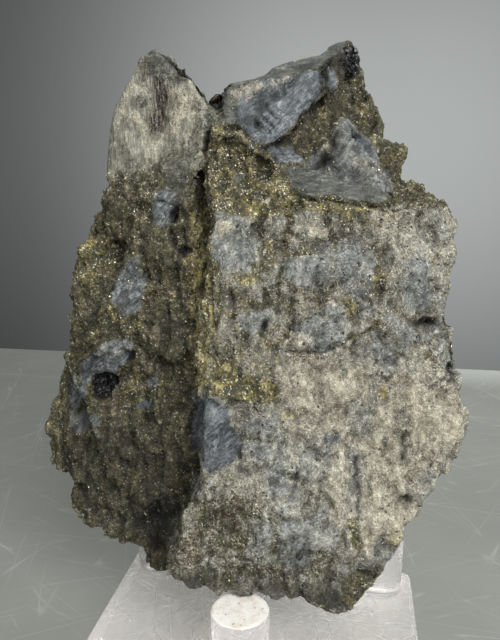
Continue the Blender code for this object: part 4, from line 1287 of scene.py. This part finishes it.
lumpRoughness = {
    "crust": 0.72, "felt": 0.85, "gold": 0.55, "blue": 0.65, "coal": 0.45, "slate": 0.5, "silk": 0.55,
    "black": 0.35, "cream": 0.7, "ochre": 0.7, "plum": 0.6}

lumpEdges = {  # how ragged and how soft each finish ends
    "felt": (0.9, 0.3),
    "gold": (0.9, 0.3),
    "blue": (0.9, 0.35),
    "coal": (0.55, 0.25),
    "slate": (0.35, 0.25),
    "silk": (0.7, 0.3),
    "black": (0.8, 0.4),
    "cream": (0.9, 0.45),
    "ochre": (0.6, 0.4),
    "plum": (0.9, 0.4),
}


def texturesOf(tree):
    # everything that the lump's tones and heights are mixed from
    place = inMillimetres(tree)
    packed = useGroup(tree, granules, Vector=place, Size=0.6).outputs
    small = useGroup(tree, granules, Vector=place, Size=0.3).outputs
    slant = {"Vector": place, "Rotation": (0.0, 0.85, 0.0)}
    slant = node(tree, "ShaderNodeMapping", slant, vector_type="TEXTURE").outputs[0]
    found = {
        "large": noiseNode(tree, place, 5.0, 3.0, 0.6),
        "coarse": noiseNode(tree, place, 2.6, 2.0, 0.5),
        "middle": noiseNode(tree, place, 1.4, 4.0, 0.65),
        "fine": noiseNode(tree, place, 0.4, 2.0, 0.6),
        "packedTone": packed["Tone"],
        "packedHeight": packed["Height"],
        "smallTone": small["Tone"],
        "smallHeight": small["Height"],
        "matted": useGroup(tree, hatch, Vector=place, Size=0.4).outputs["Fibres"],
        "grain": useGroup(tree, woodGrain, Vector=place, Size=0.4, Length=12.0).outputs["Grain"],
        "slanted": useGroup(tree, woodGrain, Vector=slant, Size=0.45, Length=9.0).outputs["Grain"],
        "flutes": noiseNode(tree, stretched(tree, place, (1.0, 1.0, 0.3)), 2.0, 3.0, 0.6),
        "flat": noiseNode(tree, stretched(tree, place, (0.22, 1.0, 1.0)), 0.9, 3.0, 0.6),
    }
    found["fineMiddle"] = times(tree, found["fine"], found["middle"])
    return found


def mixOf(tree, textures, recipe):
    return blendOf(tree, [(textures[name], share) for name, share in recipe.items()])


def makeLumpMaterial():
    material, tree, shader = newMaterial("pyritic lignite")
    textures = texturesOf(tree)
    large, middle, fine = (textures[name] for name in ("large", "middle", "fine"))
    crumbly = mixOf(tree, textures, lumpTones["crust"])
    grey = ramp(tree, crumbly, lumpColours["crust"])
    brown = ramp(tree, crumbly, lumpColours["brown crust"])
    colour = mixed(tree, between(tree, large, 0.3, 0.7), grey, brown)
    roughness = lumpRoughness["crust"]
    height = mixOf(tree, textures, lumpHeights["crust"])

    edge = blendOf(tree, [(fine, 0.5), (middle, 0.5)])
    for name in finishes:
        spread, softness = lumpEdges[name]
        amount = attributeOf(tree, name)
        amount = useGroup(tree, ragged, Amount=amount, Grain=edge, Spread=spread, Softness=softness)
        amount = amount.outputs["Amount"]
        tone = mixOf(tree, textures, lumpTones[name])
        paint = ramp(tree, tone, lumpColours[name])
        if name == "gold":
            yellower = blendOf(tree, [(textures["coarse"], 0.6), (textures["packedTone"], 0.4)])
            yellow = ramp(tree, tone, lumpColours["yellow gold"])
            paint = mixed(tree, between(tree, yellower, 0.35, 0.65), paint, yellow)
        colour = mixed(tree, amount, colour, paint)
        roughness = mixedValue(tree, amount, roughness, lumpRoughness[name])
        if name in lumpHeights:
            height = mixedValue(tree, amount, height, mixOf(tree, textures, lumpHeights[name]))

    # rusty grains and pale flecks in the gritty places
    gritty = attributeOf(tree, "gritty")
    rusty = between(tree, textures["packedTone"], 0.72, 0.8)
    rusty = times(tree, times(tree, rusty, between(tree, large, 0.45, 0.8)), gritty)
    colour = mixed(tree, times(tree, rusty, 0.4), colour, (0.20, 0.135, 0.042))
    flecks = between(tree, textures["smallTone"], 0.90, 0.94)
    flecks = times(tree, times(tree, flecks, between(tree, middle, 0.35, 0.75)), gritty)
    colour = mixed(tree, times(tree, flecks, 0.8), colour, (0.74, 0.71, 0.60))

    # painted light and shade from the zones and the recesses scales the colour
    colour = scaled(tree, colour, plus(tree, attributeOf(tree, "paintedLightAndShade"), 1.0))
    tree.links.new(colour, shader.inputs["Base Color"])
    uneven = times(tree, minus(tree, fine, 0.5), 0.3)
    tree.links.new(calc(tree, "ADD", roughness, uneven, clamp=True), shader.inputs["Roughness"])
    addBump(tree, shader, height, 1.0, 0.0003)
    shader.inputs["Specular IOR Level"].default_value = 0.32
    return material


def makeGrainMaterial(name, settings):
    material, tree, shader = newMaterial(name)
    fine = noiseNode(tree, inMillimetres(tree), 0.2, 2.0)
    tone = plus(tree, times(tree, attributeOf(tree, "tone"), 0.75), times(tree, fine, 0.3))
    wear = plus(tree, times(tree, fine, 0.3), settings["roughness"] - 0.15)
    tree.links.new(ramp(tree, tone, settings["colours"]), shader.inputs["Base Color"])
    tree.links.new(wear, shader.inputs["Roughness"])
    shader.inputs["Metallic"].default_value = settings["metallic"]
    addBump(tree, shader, fine, 0.4, 0.00005)
    return material


acrylic = {
    "colour": (0.93, 0.91, 0.895),
    "scratchColour": (1.0, 1.0, 1.0),
    "shadow": (0.92, 0.91, 0.89),  # the light that its shadow lets through
    "clearness": 0.86,
    "bending": 1.49,
    "roughness": 0.05,
}


def makeAcrylic():
    material, tree, shader = newMaterial("clear acrylic")
    place = inMillimetres(tree)
    scratches = useGroup(tree, scratched, Vector=place, Size=1.0).outputs["Scratch"]
    rough = blendOf(tree, [(scratches, 0.35), (noiseNode(tree, place, 7.0, 3.0), 0.08)])
    colour = mixed(tree, scratches, acrylic["colour"], acrylic["scratchColour"])
    tree.links.new(colour, shader.inputs["Base Color"])
    tree.links.new(plus(tree, rough, acrylic["roughness"]), shader.inputs["Roughness"])
    addBump(tree, shader, scratches, 0.25, 0.0001)
    shader.inputs["Transmission Weight"].default_value = acrylic["clearness"]
    shader.inputs["IOR"].default_value = acrylic["bending"]
    clear = node(tree, "ShaderNodeBsdfTransparent", {"Color": (*acrylic["shadow"], 1.0)})
    shadow = node(tree, "ShaderNodeLightPath").outputs["Is Shadow Ray"]
    both = node(tree, "ShaderNodeMixShader", {0: shadow, 1: shader.outputs[0], 2: clear.outputs[0]})
    tree.links.new(both.outputs[0], tree.nodes["Material Output"].inputs["Surface"])
    return material


sawnTop = {
    "colours": [(0.25, (0.78, 0.70, 0.62)), (0.55, (0.87, 0.84, 0.78)), (0.8, (0.91, 0.89, 0.84))],
    "specks": (0.30, 0.22, 0.12),
    "roughness": 0.75,
}


def makeFrosted():
    material, tree, shader = newMaterial("sawn acrylic")
    place = inMillimetres(tree)
    colour = ramp(tree, noiseNode(tree, place, 2.2, 3.0, 0.6), sawnTop["colours"])
    specks = between(tree, noiseNode(tree, place, 0.9, 2.0), 0.93, 0.99)
    colour = mixed(tree, specks, colour, sawnTop["specks"])
    tree.links.new(colour, shader.inputs["Base Color"])
    shader.inputs["Roughness"].default_value = sawnTop["roughness"]
    addBump(tree, shader, noiseNode(tree, place, 0.3, 4.0, 0.7), 0.8, 0.0002)
    return material


# Stand: the slab keeps its CAD mesh, and each peg gets a sawn, slightly crumbled top.

peg = {"sides": 64, "rings": 14, "edge": 0.4, "sawHeight": 0.16}


def makePeg(name, clear, frosted):
    low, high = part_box(name)
    centre = (low + high) / 2
    radius = (high.x - low.x) / 2
    edge = peg["edge"] * mm
    profile = [  # radius and height of each ring, and whether it is sawn
        (0.0, low.z, False),
        (radius - edge, low.z, False),
        (radius - edge * 0.3, low.z + edge * 0.3, False),
        (radius, low.z + edge, False),
        (radius, high.z - edge, False),
        (radius - 0.3 * edge, high.z - 0.3 * edge, True),
    ]
    for ring in range(peg["rings"], -1, -1):
        profile.append(((radius - edge) * ring / peg["rings"], high.z, True))
    body = bmesh.new()
    circles = []
    for r, z, sawn in profile:
        if r == 0:
            circles.append([body.verts.new((centre.x, centre.y, z))])
            continue
        circle = []
        for i in range(peg["sides"]):
            a = math.tau * i / peg["sides"]
            spot = Vector((centre.x + r * math.cos(a), centre.y + r * math.sin(a), z))
            if sawn:
                crumbled = noise.fractal(spot / mm / 1.6, 1.0, 2.0, 3)
                spot.z -= abs(crumbled) * peg["sawHeight"] * mm
            circle.append(body.verts.new(spot))
        circles.append(circle)
    for i in range(len(circles) - 1):
        inner, outer = circles[i], circles[i + 1]
        onTop = i > 4
        for k in range(peg["sides"]):
            following = (k + 1) % peg["sides"]
            if len(inner) == 1:
                face = body.faces.new((inner[0], outer[following], outer[k]))
            elif len(outer) == 1:
                face = body.faces.new((inner[k], inner[following], outer[0]))
            else:
                face = body.faces.new((inner[k], inner[following], outer[following], outer[k]))
            face.smooth = onTop or 1 <= i <= 3
            face.material_index = 1 if onTop else 0
    bmesh.ops.recalc_face_normals(body, faces=body.faces)
    mesh = bpy.data.meshes.new(name + "_rod")
    body.to_mesh(mesh)
    body.free()
    mesh.materials.append(clear)
    mesh.materials.append(frosted)
    mesh.set_sharp_from_angle(angle=math.radians(35))
    return link(name + "_rod", mesh)


# Set: table, room and lights

def makeTable():
    low, high = table["frontEdge"], table["backEdge"]
    half, radius = table["halfWidth"], table["edgeRadius"]
    profile = [(low, -table["drop"])]
    for i in range(7):
        a = math.radians(90 * i / 6)
        rounded = radius * math.cos(a) - radius
        profile.append((high - radius + radius * math.sin(a), rounded - table["drop"]))
    profile.append((high, -40.0))
    body = bmesh.new()
    left = [body.verts.new((-half * mm, y * mm, z * mm)) for y, z in profile]
    right = [body.verts.new((half * mm, y * mm, z * mm)) for y, z in profile]
    for i in range(len(profile) - 1):
        face = body.faces.new((left[i], right[i], right[i + 1], left[i + 1]))
        face.smooth = i > 0
    mesh = bpy.data.meshes.new("table_top")
    body.to_mesh(mesh)
    body.free()
    material, tree, shader = newMaterial("pale table")
    place = inMillimetres(tree)
    haze = noiseNode(tree, place, 60.0, 3.0)
    dull = tuple(0.9 * c for c in table["colour"])
    clean = tuple(1.05 * c for c in table["colour"])
    shade = ramp(tree, haze, [(0.0, dull), (1.0, clean)])
    scratches = useGroup(tree, scratched, Vector=place, Size=1.6).outputs["Scratch"]
    shade = mixed(tree, times(tree, scratches, 0.16), shade, table["scratchColour"])
    side, depth, _ = node(tree, "ShaderNodeSeparateXYZ", {0: place}).outputs
    # painted highlight along the table's rounded back edge, more to the right
    edgeWearAndHighlight = between(tree, depth, table["backEdge"] - 50, table["backEdge"] - 3)
    edgeWearAndHighlight = times(tree, edgeWearAndHighlight, between(tree, side, -250.0, 120.0))
    shade = mixed(tree, times(tree, edgeWearAndHighlight, 0.75), shade, table["edgeHighlightColour"])
    # painted shade: the table grows darker towards the left
    dim = times(tree, between(tree, side, 40.0, -220.0), 0.3)
    shade = mixed(tree, dim, shade, table["leftShadeColour"])
    tree.links.new(shade, shader.inputs["Base Color"])
    tree.links.new(minus(tree, 0.48, times(tree, haze, 0.1)), shader.inputs["Roughness"])
    mesh.materials.append(material)
    top = link("table_top", mesh)


def makeRoom():
    world = bpy.data.worlds.new("soft room")
    bpy.context.scene.world = world
    world.use_nodes = True
    tree = world.node_tree
    around = node(tree, "ShaderNodeTexCoord").outputs["Generated"]
    x, y, z = node(tree, "ShaderNodeSeparateXYZ", {0: around}).outputs
    # the backdrop: dark at its left, brightest in the middle, darker upwards
    glow = times(tree, between(tree, x, -0.55, -0.05), light["backdropGlow"])
    fade = times(tree, between(tree, x, 0.08, 0.6), 0.6)
    glow = times(tree, glow, minus(tree, 1.0, fade))
    height = minus(tree, z, 0.06)
    fall = calc(tree, "EXPONENT", times(tree, times(tree, height, height), -6.0))
    backdrop = times(tree, plus(tree, glow, light["backdrop"]), fall)
    # the room that lights the stand from all other sides
    across = times(tree, x, light["roomToRight"])
    up = times(tree, z, light["roomToTop"])
    grey = plus(tree, plus(tree, across, up), light["room"])
    grey = calc(tree, "MINIMUM", calc(tree, "MAXIMUM", grey, 0.05), 0.9)
    behind = between(tree, y, 0.3, 0.6)
    grey = plus(tree, times(tree, grey, minus(tree, 1.0, behind)), times(tree, backdrop, behind))
    roof = times(tree, between(tree, z, 0.55, 0.8), between(tree, y, -0.1, 0.3))
    grey = plus(tree, grey, times(tree, roof, light["roof"]))
    shades = {"Red": times(tree, grey, 0.96), "Green": grey, "Blue": times(tree, grey, 0.985)}
    colour = node(tree, "ShaderNodeCombineColor", shades)
    tree.links.new(colour.outputs[0], tree.nodes["Background"].inputs["Color"])
    tree.nodes["Background"].inputs["Strength"].default_value = 1.0


def addSoftLight(name, place, size, power):
    lamp = bpy.data.lights.new(name, "AREA")
    lamp.size = size * mm
    lamp.energy = power
    holder = bpy.data.objects.new(name, lamp)
    bpy.context.scene.collection.objects.link(holder)
    holder.location = Vector(place) * mm
    towards = Vector(light["aim"]) * mm - holder.location
    holder.rotation_euler = towards.to_track_quat("-Z", "Y").to_euler()
    return holder


def addCamera():
    data = bpy.data.cameras.new("photo_view")
    data.sensor_width = 36.0
    data.lens = camera["lens"]
    data.clip_start = 0.005
    holder = bpy.data.objects.new("photo_view", data)
    bpy.context.scene.collection.objects.link(holder)
    holder.location = Vector(camera["place"]) * mm
    holder.rotation_euler = (math.radians(90 - camera["pitch"]), 0.0, math.radians(camera["turn"]))
    bpy.context.scene.camera = holder


addCamera()
makeRoom()
makeTable()
addSoftLight("window_side", light["keyPlace"], light["keySize"], light["keyPower"])
addSoftLight("far_side", light["fillPlace"], light["fillSize"], light["fillPower"])
rear = addSoftLight("rear_side", light["rearPlace"], light["rearSize"], light["rearPower"])
rear.visible_camera = False
rear.visible_glossy = False  # no glare on the table
rear.visible_transmission = False
bpy.context.scene.view_settings.view_transform = "Standard"
print("set: camera, table, room and lights are up")

clearAcrylic = makeAcrylic()
sawnAcrylic = makeFrosted()
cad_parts["stand_base"].material_slots[0].material = clearAcrylic
for name in ("front_peg", "rear_left_peg", "rear_right_peg"):
    rod = makePeg(name, clearAcrylic, sawnAcrylic)
    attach(rod, "root")
    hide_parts(name)
print("stand: slab and pegs are dressed")

surface, amounts = makeLump()
surface.data.materials.append(makeLumpMaterial())
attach(surface, "root")
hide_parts("lignite_lump")

layGrains(surface, amounts)
print("lump: surface and grains are dressed")
